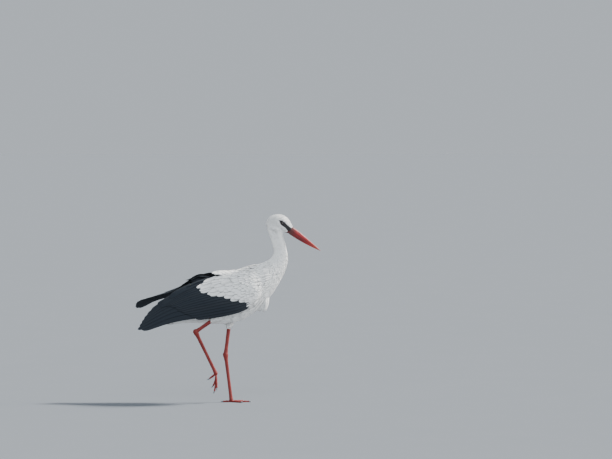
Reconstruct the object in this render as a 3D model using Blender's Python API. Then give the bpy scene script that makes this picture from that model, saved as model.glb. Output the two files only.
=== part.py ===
"""A white stork at life size, walking: it stands on its left foot and trails its right one.

Every place is worked out in the bird's own directions, forward, left and up, in metres from the floor
under its middle. The bird faces -Y in the scene, so forward is -Y, left is +X and up is +Z.
"""

import math

import bmesh
import bpy
from mathutils import Vector

GAP = 0.0003  # between pieces that meet face to face
CLEARANCE = 0.00035  # how far a cutter is grown past the piece that it stands for

# Trunk and neck: each station is a section through the body, from a point of the back line to a point
# of the belly and breast line, with half of its width: back forward, back up, belly forward, belly up.
BODY_STATIONS = [
    (-0.268, 0.366, -0.266, 0.344, 0.012),
    (-0.238, 0.404, -0.240, 0.342, 0.030),
    (-0.200, 0.448, -0.205, 0.345, 0.044),
    (-0.150, 0.495, -0.150, 0.347, 0.058),
    (-0.090, 0.534, -0.080, 0.343, 0.071),
    (-0.025, 0.562, -0.015, 0.344, 0.078),
    (0.040, 0.581, 0.060, 0.359, 0.080),
    (0.100, 0.601, 0.128, 0.402, 0.077),
    (0.145, 0.616, 0.178, 0.453, 0.070),
    (0.172, 0.627, 0.214, 0.503, 0.059),
    (0.188, 0.638, 0.242, 0.553, 0.046),
    (0.197, 0.654, 0.260, 0.602, 0.035),
    (0.200, 0.676, 0.264, 0.642, 0.0285),
    (0.197, 0.700, 0.257, 0.680, 0.0260),
    (0.190, 0.724, 0.250, 0.708, 0.0250),
    (0.181, 0.752, 0.243, 0.734, 0.0250),
    (0.178, 0.778, 0.238, 0.758, 0.0240),
]
NECK_STARTS = 10.0  # stations along the body where the neck leaves the trunk
NECK_PARTS = 13.0  # and where the neck is parted in two
BODY_SIDES = 24
TRUNK_RINGS = 20
NECK_RINGS = 7
TAPER_FADES = 7.0
BELLY_TAPER = 0.22  # how much narrower the keel of the breast and belly is than the middle

# Head: its own axis runs from the eye along the bill, which points down in front.
EYE_PLACE = (0.238, 0.789)  # forward, up
HEAD_TILT = math.radians(-34)
# Each station: along the axis from the eye, crown and jaw above and below it, half of the width.
HEAD_STATIONS = [
    (-0.0640, -0.0100, -0.0320, 0.0070),
    (-0.0600, 0.0010, -0.0420, 0.0150),
    (-0.0500, 0.0130, -0.0480, 0.0205),
    (-0.0350, 0.0255, -0.0490, 0.0248),
    (-0.0150, 0.0325, -0.0440, 0.0272),
    (0.0050, 0.0325, -0.0370, 0.0270),
    (0.0220, 0.0275, -0.0315, 0.0235),
    (0.0360, 0.0195, -0.0275, 0.0180),
    (0.0480, 0.0128, -0.0240, 0.0138),
]
HEAD_SIDES = 22
HEAD_RINGS = 15
HEAD_TAPER = 0.18  # how much narrower the jaw is than the crown
EYE_RADIUS = 0.0085
EYE_PROUD = 0.0008  # how far the eyeball stands out of the side of the head

BILL_STARTS = 0.0483
BILL_ENDS = 0.2105
BILL_TIP_DROP = -0.0070
CULMEN_RISE = 0.0118  # above the head's axis at the bill's base
JAW_DROP = -0.0228
TOMIUM_DROP = -0.0082  # the line where the two halves of the bill close
BILL_HALF_WIDTH = 0.0125
BILL_TIP_HALF_WIDTH = 0.0007
BILL_LAST_RING = 0.985  # the blunt tip, as a share of the length
BILL_SIDES = 9
BILL_RINGS = 11

# Folded wings: each station is a line across the wing, from its lower edge to its upper one. Lower
# forward, lower up, lower out from the middle, the same three of the upper edge, how far the wing
# bulges out between them, and how thick it is.
RIGHT_WING = [
    (0.160, 0.500, 0.052, 0.160, 0.534, 0.050, 0.006, 0.010),
    (0.132, 0.446, 0.072, 0.136, 0.570, 0.062, 0.018, 0.022),
    (0.086, 0.413, 0.080, 0.082, 0.583, 0.052, 0.030, 0.022),
    (0.030, 0.390, 0.082, 0.024, 0.580, 0.044, 0.035, 0.020),
    (-0.045, 0.376, 0.080, -0.035, 0.571, 0.038, 0.034, 0.017),
    (-0.120, 0.367, 0.074, -0.100, 0.546, 0.032, 0.029, 0.014),
    (-0.190, 0.359, 0.066, -0.165, 0.522, 0.026, 0.022, 0.011),
    (-0.255, 0.349, 0.057, -0.225, 0.492, 0.021, 0.015, 0.0085),
    (-0.315, 0.333, 0.048, -0.285, 0.450, 0.017, 0.009, 0.006),
    (-0.366, 0.317, 0.040, -0.342, 0.404, 0.014, 0.004, 0.004),
]
# The left wing is held a little higher, and its tips lie flat over the back.
LEFT_WING = [
    (0.166, 0.502, 0.052, 0.166, 0.536, 0.050, 0.006, 0.010),
    (0.136, 0.452, 0.074, 0.138, 0.572, 0.062, 0.018, 0.022),
    (0.088, 0.424, 0.084, 0.082, 0.586, 0.052, 0.030, 0.022),
    (0.030, 0.406, 0.090, 0.024, 0.584, 0.044, 0.034, 0.020),
    (-0.045, 0.402, 0.091, -0.035, 0.575, 0.036, 0.034, 0.017),
    (-0.120, 0.410, 0.095, -0.106, 0.566, 0.026, 0.030, 0.014),
    (-0.190, 0.430, 0.098, -0.170, 0.541, 0.018, 0.022, 0.011),
    (-0.258, 0.459, 0.096, -0.236, 0.497, 0.014, 0.013, 0.0080),
    (-0.322, 0.446, 0.092, -0.305, 0.475, 0.018, 0.007, 0.006),
    (-0.370, 0.423, 0.086, -0.362, 0.457, 0.026, 0.004, 0.004),
]
# Where the white coverts end and where the primaries' tips start, in stations, at a share of the width.
COVERTS_END = [(0.0, 2.0), (0.3, 3.15), (0.55, 4.5), (0.85, 5.35), (1.0, 5.05)]
SECONDARIES_END = [(0.0, 7.0), (0.4, 7.7), (1.0, 7.2)]
PRIMARY_TIPS = [0.008, 0.042, 0.034, 0.024, 0.008]  # beyond the last station, from the lowest feather up
TIP_NOTCH = 0.014
EDGE_THICKNESS = 0.35  # a share of the thickness in the middle
WING_COLUMNS = 15  # three across each primary's tip
ARM_ROWS = 8
SECONDARIES_ROWS = 7
PRIMARIES_ROWS = 5

# The lock of plumes that hangs from the breast: forward, up, half of its depth and of its width.
PLUME_STATIONS = [
    (0.176, 0.500, 0.012, 0.030),
    (0.166, 0.464, 0.016, 0.031),
    (0.160, 0.432, 0.0165, 0.024),
    (0.156, 0.410, 0.013, 0.014),
    (0.153, 0.3985, 0.005, 0.004),
]
PLUME_SIDES = 12
PLUME_RINGS = (0, 0.12, 0.28, 0.45, 0.62, 0.78, 0.90, 0.97, 1.0)  # shares of the way down

TAIL_ROOT = (-0.215, 0.386)
TAIL_LENGTH = 0.148
TAIL_SLOPE = math.radians(-20)
TAIL_FEATHERS = 6
TAIL_ROWS = 5
TAIL_HALF_WIDTH = 0.026
TAIL_FANS_OUT = 0.012  # how much wider each half gets by the tips
TAIL_HALF_DEPTH = 0.0150  # at the root, which thins out to the two below
TAIL_TIP_HALF_DEPTH = 0.0016
TAIL_EDGE_HALF_DEPTH = 0.0004
TAIL_NOTCH = 0.010
TAIL_ROUNDING = 0.014
TAIL_ARCH = 0.006

# Legs: knee to hock, and hock to foot.
TIBIA = 0.225
TARSUS = 0.203
BARE_TIBIA = 0.113
BARE_TIBIA_TRAILING = 0.080  # the flank's feathers cover more of the leg that is drawn back
# Places and directions of the legs: forward, left, up.
STANDING_FOOT = (0.0125, -0.0005, 0.0088)
STANDING_TARSUS = (-0.0256, 0.0222, 0.2004)
STANDING_TIBIA = (0.0270, 0.028, 0.2220)
TRAILING_KNEE = (0.042, -0.056, 0.442)
TRAILING_TIBIA = (-0.183, -0.004, -0.1274)
TRAILING_TARSUS = (0.090, 0.004, -0.1862)
LEG_HALF_DEPTH = 0.0068
LEG_HALF_WIDTH = 0.0055
HOCK_RADIUS = 0.0115
FOOT_RADIUS = 0.0085
LEG_SIDES = 10
THIGH_SIDES = 14
THIGH_TOP = 0.10  # share of the way from the knee to the hock where the thigh's solid starts
# Along each piece of a leg: share of its length, half of its depth and of its width.
THIGH_PROFILE = [
    (0, 0.030, 0.022),
    (0.25, 0.031, 0.022),
    (0.5, 0.027, 0.019),
    (0.75, 0.020, 0.0145),
    (0.92, 0.0135, 0.0105),
    (1, 0.0085, 0.0075),
]
SHANK_PROFILE = [
    (0, LEG_HALF_DEPTH * 1.20, LEG_HALF_WIDTH * 1.15),
    (0.35, LEG_HALF_DEPTH * 1.10, LEG_HALF_WIDTH * 1.08),
    (0.7, LEG_HALF_DEPTH * 1.06, LEG_HALF_WIDTH * 1.04),
    (0.86, LEG_HALF_DEPTH * 1.22, LEG_HALF_WIDTH * 1.18),
    (0.97, LEG_HALF_DEPTH * 1.42, LEG_HALF_WIDTH * 1.40),
]
TARSUS_PROFILE = [
    (0, 0.0035, 0.0030),
    (0.015, 0.0088, 0.0070),
    (0.045, HOCK_RADIUS, 0.0088),
    (0.085, 0.0108, 0.0084),
    (0.125, 0.0088, 0.0070),
    (0.180, LEG_HALF_DEPTH * 1.08, LEG_HALF_WIDTH * 1.04),
    (0.500, LEG_HALF_DEPTH * 0.95, LEG_HALF_WIDTH * 0.95),
    (0.860, LEG_HALF_DEPTH, LEG_HALF_WIDTH),
    (0.915, 0.0078, 0.0068),
    (0.955, FOOT_RADIUS, 0.0086),
    (0.985, 0.0072, 0.0070),
    (1, 0.0040, 0.0040),
]

TOE_RADIUS = 0.0046
TOE_SIDES = 6
TOE_STEPS = 3  # along each phalanx
TOE_REST = 0.80  # height of a toe's middle over the floor, in its own radii, which flattens its underside
TOE_TAPER = 0.26
TOE_PADS = 0.14  # how much a pad swells under each joint, as a share of the radius
# Toe: angle from straight ahead (towards the bird's outer side), length without the claw.
TOES = {
    "inner": (-42, 0.054, 3),
    "middle": (0, 0.074, 4),
    "outer": (40, 0.060, 3),
    "hind": (180, 0.031, 2),
}
CLAW_LENGTH = 0.0115
CLAW_HOOK = 0.22  # how far the tip drops, as a share of the length
# Along each claw: share of the length, and of the toe's last radius.
CLAW_PROFILE = [(0, 0.98), (0.3, 0.90), (0.65, 0.60), (1, 0.16)]

COLOURS = {
    "plumage": ((0.86, 0.85, 0.82, 1), 0.8),
    "flight_feathers": ((0.018, 0.020, 0.026, 1), 0.55),
    "bill": ((0.55, 0.035, 0.030, 1), 0.4),
    "leg_skin": ((0.42, 0.045, 0.035, 1), 0.55),
    "claw": ((0.05, 0.035, 0.03, 1), 0.45),
    "eye": ((0.02, 0.012, 0.008, 1), 0.08),
}


def clear_scene():
    for obj in list(bpy.data.objects):
        bpy.data.objects.remove(obj)


def bird(forward, left, up):
    """A place given in the bird's own directions."""
    return Vector((left, -forward, up))


def through(knots, x):
    """The smooth line through a few (x, value) knots, read at x and held past the ends."""
    if x <= knots[0][0]:
        return knots[0][1]
    if x >= knots[-1][0]:
        return knots[-1][1]
    i = max(k for k in range(len(knots) - 1) if knots[k][0] <= x)

    def slope(k):
        low, high = max(k - 1, 0), min(k + 1, len(knots) - 1)
        return (knots[high][1] - knots[low][1]) / (knots[high][0] - knots[low][0])

    (x0, y0), (x1, y1) = knots[i], knots[i + 1]
    step = x1 - x0
    t = (x - x0) / step
    return (
        y0 * (1 + 2 * t) * (1 - t) ** 2
        + slope(i) * step * t * (1 - t) ** 2
        + y1 * t * t * (3 - 2 * t)
        + slope(i + 1) * step * t * t * (t - 1)
    )


def row_at(rows, t):
    """A station between the rows of a table, at position t counted in rows."""
    return [through([(k, row[c]) for k, row in enumerate(rows)], t) for c in range(len(rows[0]))]


def ease(t):
    t = min(max(t, 0), 1)
    return t * t * (3 - 2 * t)


# ---- making objects


def materials():
    for name, (colour, roughness) in COLOURS.items():
        material = bpy.data.materials.new(name)
        material.use_nodes = True
        shader = material.node_tree.nodes["Principled BSDF"]
        shader.inputs["Base Color"].default_value = colour
        shader.inputs["Roughness"].default_value = roughness


def link(name, bm, material, origin=None):
    """A named object from a bmesh in the scene's frame, with its origin at a place of its own."""
    origin = origin or Vector((0, 0, 0))
    bmesh.ops.triangulate(bm, faces=bm.faces)
    bmesh.ops.recalc_face_normals(bm, faces=bm.faces)
    bmesh.ops.translate(bm, verts=bm.verts, vec=-origin)
    mesh = bpy.data.meshes.new(name)
    bm.to_mesh(mesh)
    bm.free()
    mesh.materials.append(bpy.data.materials[material])
    mesh.shade_smooth()
    obj = bpy.data.objects.new(name, mesh)
    obj.location = origin
    obj.parent = bpy.data.objects.get("stork")
    bpy.context.scene.collection.objects.link(obj)
    return obj


def loft(name, rings, material, origin=None):
    """A closed solid through rings of points, with a flat cap at each end."""
    bm = bmesh.new()
    rows = [[bm.verts.new(p) for p in ring] for ring in rings]
    count = len(rings[0])
    for a, b in zip(rows, rows[1:]):
        for k in range(count):
            bm.faces.new((a[k], a[(k + 1) % count], b[(k + 1) % count], b[k]))
    for row in (rows[0], rows[-1]):
        bm.faces.new(row)
    return link(name, bm, material, origin)


def slab(name, upper, lower, material, origin=None):
    """A closed solid between two grids of points of the same size, with a rim round them."""
    bm = bmesh.new()
    top = [[bm.verts.new(p) for p in row] for row in upper]
    bottom = [[bm.verts.new(p) for p in row] for row in lower]
    rows, columns = len(upper), len(upper[0])
    for i in range(rows - 1):
        for j in range(columns - 1):
            bm.faces.new((top[i][j], top[i][j + 1], top[i + 1][j + 1], top[i + 1][j]))
            bm.faces.new((bottom[i][j], bottom[i + 1][j], bottom[i + 1][j + 1], bottom[i][j + 1]))
    rim = [(0, j) for j in range(columns)] + [(i, columns - 1) for i in range(1, rows)]
    rim += [(rows - 1, j) for j in range(columns - 2, -1, -1)] + [(i, 0) for i in range(rows - 2, 0, -1)]
    for (i, j), (k, m) in zip(rim, rim[1:] + rim[:1]):
        bm.faces.new((top[i][j], bottom[i][j], bottom[k][m], top[k][m]))
    return link(name, bm, material, origin)


def grown(obj):
    """A hidden copy of a piece, a little larger all round, to cut its neighbours with."""
    name = "cutter_" + obj.name
    if name in bpy.data.objects:
        return bpy.data.objects[name]
    cutter = bpy.data.objects.new(name, obj.data)
    cutter.location = obj.location
    cutter.parent = obj.parent
    cutter.hide_render = True
    cutter.display_type = "WIRE"
    grow = cutter.modifiers.new("grow", "DISPLACE")
    grow.strength = CLEARANCE
    grow.mid_level = 0.0
    bpy.context.scene.collection.objects.link(cutter)
    return cutter


def cut(obj, *others):
    for other in others:
        boolean = obj.modifiers.new("clear_" + other.name, "BOOLEAN")
        boolean.operation = "DIFFERENCE"
        boolean.solver = "EXACT"
        boolean.object = grown(other)


# ---- trunk, neck and head


def body_ring(t):
    """One section of the trunk or neck: an oval from the back line to the belly line."""
    back_forward, back_up, belly_forward, belly_up, half_width = row_at(BODY_STATIONS, t)
    back, belly = bird(back_forward, 0, back_up), bird(belly_forward, 0, belly_up)
    middle, half = (back + belly) / 2, (back - belly) / 2
    trunk_share = 1 - ease((t - TAPER_FADES) / (NECK_STARTS - TAPER_FADES))
    ring = []
    for k in range(BODY_SIDES):
        angle = 2 * math.pi * k / BODY_SIDES
        height = math.cos(angle)
        taper = 1 + BELLY_TAPER * trunk_share * min(height, 0)
        ring.append(middle + half * height + Vector((half_width * taper * math.sin(angle), 0, 0)))
    return ring


def body_part(name, start, end, rings):
    """The stretch of the body between two stations, short of its neighbour by the gap."""
    steps = [start + (end - start) * k / (rings - 1) for k in range(rings)]
    back_forward, back_up = row_at(BODY_STATIONS, start)[:2]
    return loft(name, [body_ring(t) for t in steps], "plumage", bird(back_forward, 0, back_up))


def shortened(t):
    """The station just short of t, by the gap between pieces."""
    here, before = body_ring(t), body_ring(t - 0.01)
    nearest = min((p - q).length for p, q in zip(here, before))
    return t - 0.01 * GAP / nearest


def head_place(along, rise, left=0.0):
    """A place given along the head's axis from the eye, above that axis, and to the left."""
    forward = EYE_PLACE[0] + along * math.cos(HEAD_TILT) - rise * math.sin(HEAD_TILT)
    up = EYE_PLACE[1] + along * math.sin(HEAD_TILT) + rise * math.cos(HEAD_TILT)
    return bird(forward, left, up)


def make_head():
    rings = []
    for k in range(HEAD_RINGS):
        station = (len(HEAD_STATIONS) - 1) * k / (HEAD_RINGS - 1)
        along, crown, jaw, half_width = row_at(HEAD_STATIONS, station)
        middle, half = (crown + jaw) / 2, (crown - jaw) / 2
        ring = []
        for m in range(HEAD_SIDES):
            angle = 2 * math.pi * m / HEAD_SIDES
            narrow = 1 - HEAD_TAPER * max(-math.cos(angle), 0)
            left = half_width * narrow * math.sin(angle)
            ring.append(head_place(along, middle + half * math.cos(angle), left))
        rings.append(ring)
    return loft("head", rings, "plumage", head_place(0, 0))


def make_eye(name, side, head_half_width):
    centre = head_place(0, 0, side * (head_half_width + EYE_PROUD - EYE_RADIUS))
    bm = bmesh.new()
    bmesh.ops.create_icosphere(bm, subdivisions=2, radius=EYE_RADIUS)
    bmesh.ops.translate(bm, verts=bm.verts, vec=centre)
    return link(name, bm, "eye", centre)


def bill_outline(share):
    """Culmen, closing line, jaw line and half of the width, at a share of the way to the bill's tip."""
    taper = 1 - share
    culmen = BILL_TIP_DROP + (CULMEN_RISE - BILL_TIP_DROP) * (1 - share**1.35)
    tomium = TOMIUM_DROP + (BILL_TIP_DROP - TOMIUM_DROP) * share
    jaw = BILL_TIP_DROP + (JAW_DROP - BILL_TIP_DROP) * (1 - share**2.1)
    shape = 0.78 * taper + 0.22 * taper**3
    half_width = BILL_TIP_HALF_WIDTH + (BILL_HALF_WIDTH - BILL_TIP_HALF_WIDTH) * shape
    return culmen, tomium, jaw, half_width


def make_bill(name, upper):
    rings = []
    for k in range(BILL_RINGS):
        share = BILL_LAST_RING * k / (BILL_RINGS - 1)
        culmen, tomium, jaw, half_width = bill_outline(share)
        along = BILL_STARTS + (BILL_ENDS - BILL_STARTS) * share
        ridge, line = (culmen, tomium + GAP / 2) if upper else (jaw, tomium - GAP / 2)
        ring = []
        for m in range(BILL_SIDES):
            angle = math.pi * m / (BILL_SIDES - 1)
            height = math.sin(angle) ** 0.8
            ring.append(head_place(along, line + (ridge - line) * height, half_width * math.cos(angle)))
        rings.append(ring)
    return loft(name, rings, "bill", head_place(BILL_STARTS, 0))


def make_breast_plumes():
    """The long loose feathers that hang from the base of the foreneck, as one pointed lock."""
    rings = []
    for share in PLUME_RINGS:
        forward, up, half_depth, half_width = row_at(PLUME_STATIONS, share * (len(PLUME_STATIONS) - 1))
        angles = [2 * math.pi * m / PLUME_SIDES for m in range(PLUME_SIDES)]
        ring = [bird(forward + half_depth * math.cos(a), half_width * math.sin(a), up) for a in angles]
        rings.append(ring)
    return loft("breast_plumes", rings, "plumage", bird(PLUME_STATIONS[0][0], 0, PLUME_STATIONS[0][1]))


# ---- wings


def wing_place(wing, side, station, share, depth=0.0):
    """A place on the wing's outer side, or a share of its thickness inside it, also past the last station."""
    last = len(wing) - 1
    if station > last:
        end, before = (wing_place(wing, side, s, share, depth) for s in (last, last - 0.1))
        return end + (end - before) * (station - last) / 0.1
    row = row_at(wing, station)
    lower, upper = Vector(row[0:3]), Vector(row[3:6])
    bulge, thickness = row[6:8]
    chord = (upper - lower).normalized()
    outward = Vector((0, -chord.z, chord.y)).normalized()
    edge = EDGE_THICKNESS + (1 - EDGE_THICKNESS) * math.sqrt(max(1 - (2 * share - 1) ** 4, 0))
    rise = bulge * 4 * share * (1 - share) - thickness * edge * depth
    forward, up, out = lower.lerp(upper, share) + outward * rise
    return bird(forward, side * out, up)


def wing_part(wing, side, name, starts, ends, rows, material):
    """A piece of the wing between two lines across it, each giving its station at a share of the width."""
    outer, inner = [], []
    for k in range(WING_COLUMNS + 1):
        share = k / WING_COLUMNS
        start, end = starts(share), ends(share)
        stations = [start + (end - start) * i / (rows - 1) for i in range(rows)]
        outer.append([wing_place(wing, side, station, share) for station in stations])
        inner.append([wing_place(wing, side, station, share, 1.0) for station in stations])
    return slab(name, outer, inner, material, bird(wing[1][0], side * wing[1][2], wing[1][1]))


def make_wing(wing, side, side_name):
    """Arm with its white coverts, the black secondaries, and the tips of the primaries."""
    last = len(wing) - 1
    spacing = (Vector(wing[-1][:3]) - Vector(wing[-2][:3])).length

    def coverts_end(share):
        return through(COVERTS_END, share)

    def secondaries_end(share):
        return through(SECONDARIES_END, share)

    def tips(share):
        place = share * len(PRIMARY_TIPS)
        feather = min(int(place), len(PRIMARY_TIPS) - 1)
        notch = TIP_NOTCH * (2 * (place - feather) - 1) ** 2
        return last + (PRIMARY_TIPS[feather] - notch) / spacing

    def front(_share):
        return 0

    def just_before(line):
        return lambda share: line(share) - GAP / spacing

    parts = [
        ("arm", front, just_before(coverts_end), ARM_ROWS, "plumage"),
        ("secondaries", coverts_end, just_before(secondaries_end), SECONDARIES_ROWS, "flight_feathers"),
        ("primaries", secondaries_end, tips, PRIMARIES_ROWS, "flight_feathers"),
    ]
    return [wing_part(wing, side, f"wing_{side_name}_{part}", *rest) for part, *rest in parts]


def make_tail():
    """The folded tail, a flat fan with a rounded tip to each pair of feathers."""
    columns = TAIL_FEATHERS * 3 + 1
    top, bottom = [], []
    for j in range(columns):
        share = j / (columns - 1)
        place = share * TAIL_FEATHERS
        side = 2 * share - 1
        notch = TAIL_NOTCH * (2 * (place - min(int(place), TAIL_FEATHERS - 1)) - 1) ** 2
        length = TAIL_LENGTH - notch - TAIL_ROUNDING * side**2
        arch = -TAIL_ARCH * side**2
        top_row, bottom_row = [], []
        for i in range(TAIL_ROWS):
            along = length * i / (TAIL_ROWS - 1)
            t = along / TAIL_LENGTH
            half_width = TAIL_HALF_WIDTH + TAIL_FANS_OUT * t
            middle_depth = TAIL_HALF_DEPTH * (1 - t) ** 1.5 + TAIL_TIP_HALF_DEPTH
            half_depth = middle_depth * math.sqrt(max(1 - side**2, 0)) + TAIL_EDGE_HALF_DEPTH
            for row, rise in ((top_row, half_depth), (bottom_row, -half_depth)):
                forward = TAIL_ROOT[0] - along * math.cos(TAIL_SLOPE) - (rise + arch) * math.sin(TAIL_SLOPE)
                up = TAIL_ROOT[1] + along * math.sin(TAIL_SLOPE) + (rise + arch) * math.cos(TAIL_SLOPE)
                row.append(bird(forward, half_width * side, up))
        top.append(top_row)
        bottom.append(bottom_row)
    return slab("tail", top, bottom, "plumage", bird(TAIL_ROOT[0], 0, TAIL_ROOT[1]))


# ---- legs


def limb(name, start, end, profile, material, sides=LEG_SIDES):
    """A round piece along a straight line, with a profile of shares of its length and half sizes."""
    axis = (end - start).normalized()
    side = Vector((1, 0, 0)) - axis * axis.x
    side.normalize()
    front = axis.cross(side)
    rings = []
    for share, half_depth, half_width in profile:
        centre = start.lerp(end, share)
        ring = []
        for k in range(sides):
            angle = 2 * math.pi * k / sides
            ring.append(centre + front * half_depth * math.cos(angle) + side * half_width * math.sin(angle))
        rings.append(ring)
    return loft(name, rings, material, start)


def make_thigh(name, knee, hock, bare):
    """The feathered upper leg, from inside the flank to where the bare skin starts."""
    start, end = knee.lerp(hock, THIGH_TOP), knee.lerp(hock, 1 - bare / TIBIA)
    return limb(name, start, end, THIGH_PROFILE, "plumage", THIGH_SIDES)


def make_shank(name, knee, hock, bare):
    """The bare lower end of the upper leg."""
    start = knee.lerp(hock, 1 - (bare - GAP) / TIBIA)
    return limb(name, start, hock, SHANK_PROFILE, "leg_skin")


def make_tarsus(name, hock, foot):
    """Hock joint and shank of the foot, down to the ball where the toes start."""
    length = (foot - hock).length
    beyond = hock + (hock - foot) * (HOCK_RADIUS / length)
    end = foot + (foot - hock) * (FOOT_RADIUS * 0.9 / length)
    return limb(name, beyond, end, TARSUS_PROFILE, "leg_skin")


def toe_solid(name, path, widths, up, material, floor):
    """A toe or claw along a path of points. Where the toe stands, its underside is flat on the floor."""
    rings = []
    last = len(path) - 1
    for k, (centre, radius) in enumerate(zip(path, widths)):
        axis = (path[min(k + 1, last)] - path[max(k - 1, 0)]).normalized()
        side = axis.cross(up).normalized()
        over = side.cross(axis)
        ring = []
        for m in range(TOE_SIDES):
            angle = 2 * math.pi * m / TOE_SIDES
            point = centre + side * radius * 1.08 * math.cos(angle) + over * radius * math.sin(angle)
            if floor:
                point.z = max(point.z, 0.0)
            ring.append(point)
        rings.append(ring)
    return loft(name, rings, material, path[0])


def make_toes(side_name, foot, pose):
    """Four toes with their claws. The pose gives the foot's own directions and how each toe bends."""
    ahead, up, side = pose["ahead"], pose["up"], pose["side"]
    across = ahead.cross(up) * -side
    made = {}
    for toe, (turn, length, phalanges) in TOES.items():
        angle = math.radians(turn * pose["spread"])
        direction = ahead * math.cos(angle) + across * math.sin(angle)
        if toe == "hind":
            direction = pose["hind"].normalized()
        bend_axis = direction.cross(up).normalized()
        steps = phalanges * TOE_STEPS
        point = foot + direction * FOOT_RADIUS * 0.55
        path, widths = [point.copy()], [TOE_RADIUS * (1 + TOE_PADS)]
        for k in range(1, steps + 1):
            bend = -math.radians(pose["curl"][toe]) * k / steps
            heading = direction * math.cos(bend) + bend_axis.cross(direction) * math.sin(bend)
            point = point + heading * (length / steps)
            pad = 1 + TOE_PADS * math.cos(2 * math.pi * k / TOE_STEPS)
            path.append(point.copy())
            widths.append(TOE_RADIUS * (1 - TOE_TAPER * k / steps) * pad)
        if pose["stands"]:
            for place, width in zip(path, widths):
                place.z = width * TOE_REST
        name = f"toe_{side_name}_{toe}"
        made[toe] = toe_solid(name, path, widths, up, "leg_skin", pose["stands"])
        make_claw(f"claw_{side_name}_{toe}", path[-2], path[-1], widths[-1], up, pose["stands"])
    return made


def make_claw(name, before, end, radius, up, floor):
    direction = (end - before).normalized()
    start = end + direction * GAP
    hook = up * CLAW_HOOK
    path = [start + (direction * share - hook * share**2) * CLAW_LENGTH for share, _ in CLAW_PROFILE]
    widths = [radius * size for _, size in CLAW_PROFILE]
    if floor:
        for point, width in zip(path, widths):
            point.z = max(point.z, width * TOE_REST)
    return toe_solid(name, path, widths, up, "claw", floor)


def make_leg(side_name, knee, hock, foot, bare, flank, pose):
    thigh = make_thigh("thigh_" + side_name, knee, hock, bare)
    cut(thigh, *flank)
    shank = make_shank("shank_" + side_name, knee, hock, bare)
    tarsus = make_tarsus("tarsus_" + side_name, hock, foot)
    cut(shank, tarsus, *flank)
    made = make_toes(side_name, foot, pose)
    for toe in made.values():
        cut(toe, tarsus)
    cut(bpy.data.objects[f"claw_{side_name}_hind"], tarsus)
    cut(made["inner"], made["middle"])
    cut(made["outer"], made["middle"])
    cut(made["hind"], made["inner"], made["outer"], made["middle"])


def make_legs(trunk, wings):
    foot = bird(*STANDING_FOOT)
    hock = foot + bird(*STANDING_TARSUS).normalized() * TARSUS
    knee = hock + bird(*STANDING_TIBIA).normalized() * TIBIA
    stand = {
        "ahead": bird(1, 0, 0),
        "up": bird(0, 0, 1),
        "hind": bird(-1, 0.10, 0),
        "side": 1,
        "spread": 1.0,
        "curl": dict.fromkeys(TOES, 0),
        "stands": True,
    }
    make_leg("left", knee, hock, foot, BARE_TIBIA, [trunk, *wings["left"][:2]], stand)

    knee = bird(*TRAILING_KNEE)
    hock = knee + bird(*TRAILING_TIBIA).normalized() * TIBIA
    foot = hock + bird(*TRAILING_TARSUS).normalized() * TARSUS
    hang = {
        "ahead": bird(0.10, 0, -1).normalized(),
        "up": bird(1, 0, 0.10).normalized(),
        "hind": bird(-0.72, 0.10, -0.72),
        "side": -1,
        "spread": 0.36,
        "curl": {"inner": 34, "middle": 20, "outer": 2, "hind": 10},
        "stands": False,
    }
    make_leg("right", knee, hock, foot, BARE_TIBIA_TRAILING, [trunk, *wings["right"][:2]], hang)


def main():
    clear_scene()
    materials()
    stork = bpy.data.objects.new("stork", None)
    bpy.context.scene.collection.objects.link(stork)
    trunk = body_part("trunk", 0, shortened(NECK_STARTS), TRUNK_RINGS)
    neck_lower = body_part("neck_lower", NECK_STARTS, shortened(NECK_PARTS), NECK_RINGS)
    neck_upper = body_part("neck_upper", NECK_PARTS, len(BODY_STATIONS) - 1, NECK_RINGS)
    head = make_head()
    cut(neck_upper, head)
    head_half_width = through([(row[0], row[3]) for row in HEAD_STATIONS], 0.0)
    eyes = [make_eye("eye_left", 1, head_half_width), make_eye("eye_right", -1, head_half_width)]
    cut(head, *eyes)
    make_bill("bill_upper", True)
    make_bill("bill_lower", False)
    plumes = make_breast_plumes()
    cut(plumes, trunk, neck_lower)
    tail = make_tail()
    cut(tail, trunk)
    wings = {"left": make_wing(LEFT_WING, 1, "left"), "right": make_wing(RIGHT_WING, -1, "right")}
    for arm, secondaries, _primaries in wings.values():
        cut(arm, trunk)
        cut(secondaries, trunk, tail)
    make_legs(trunk, wings)


main()
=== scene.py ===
import math

import bmesh
import bpy
import numpy as np
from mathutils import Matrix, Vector
from mathutils.bvhtree import BVHTree


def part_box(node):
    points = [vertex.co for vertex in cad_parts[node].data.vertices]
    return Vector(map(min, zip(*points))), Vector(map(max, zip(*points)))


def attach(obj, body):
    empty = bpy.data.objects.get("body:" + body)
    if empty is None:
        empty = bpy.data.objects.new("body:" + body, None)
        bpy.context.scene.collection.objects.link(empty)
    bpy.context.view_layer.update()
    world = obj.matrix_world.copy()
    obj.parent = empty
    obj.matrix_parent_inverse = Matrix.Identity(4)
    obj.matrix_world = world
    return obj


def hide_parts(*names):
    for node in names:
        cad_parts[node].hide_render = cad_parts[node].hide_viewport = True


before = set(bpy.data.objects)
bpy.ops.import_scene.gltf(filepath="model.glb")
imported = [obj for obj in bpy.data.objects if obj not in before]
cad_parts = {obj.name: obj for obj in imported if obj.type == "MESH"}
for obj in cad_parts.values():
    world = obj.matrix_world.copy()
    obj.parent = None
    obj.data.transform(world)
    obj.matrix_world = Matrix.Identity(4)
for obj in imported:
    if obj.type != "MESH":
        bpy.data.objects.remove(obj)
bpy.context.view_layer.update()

root = "root"
print("stork: frame loaded,", len(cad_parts), "nodes")


# directions, curves and tables

def bird(forward, left, up):
    # the bird faces -Y, with its left side towards +X
    return Vector((left, -forward, up))


def ease(t):
    t = min(max(t, 0), 1)
    return t * t * (3 - 2 * t)


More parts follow.
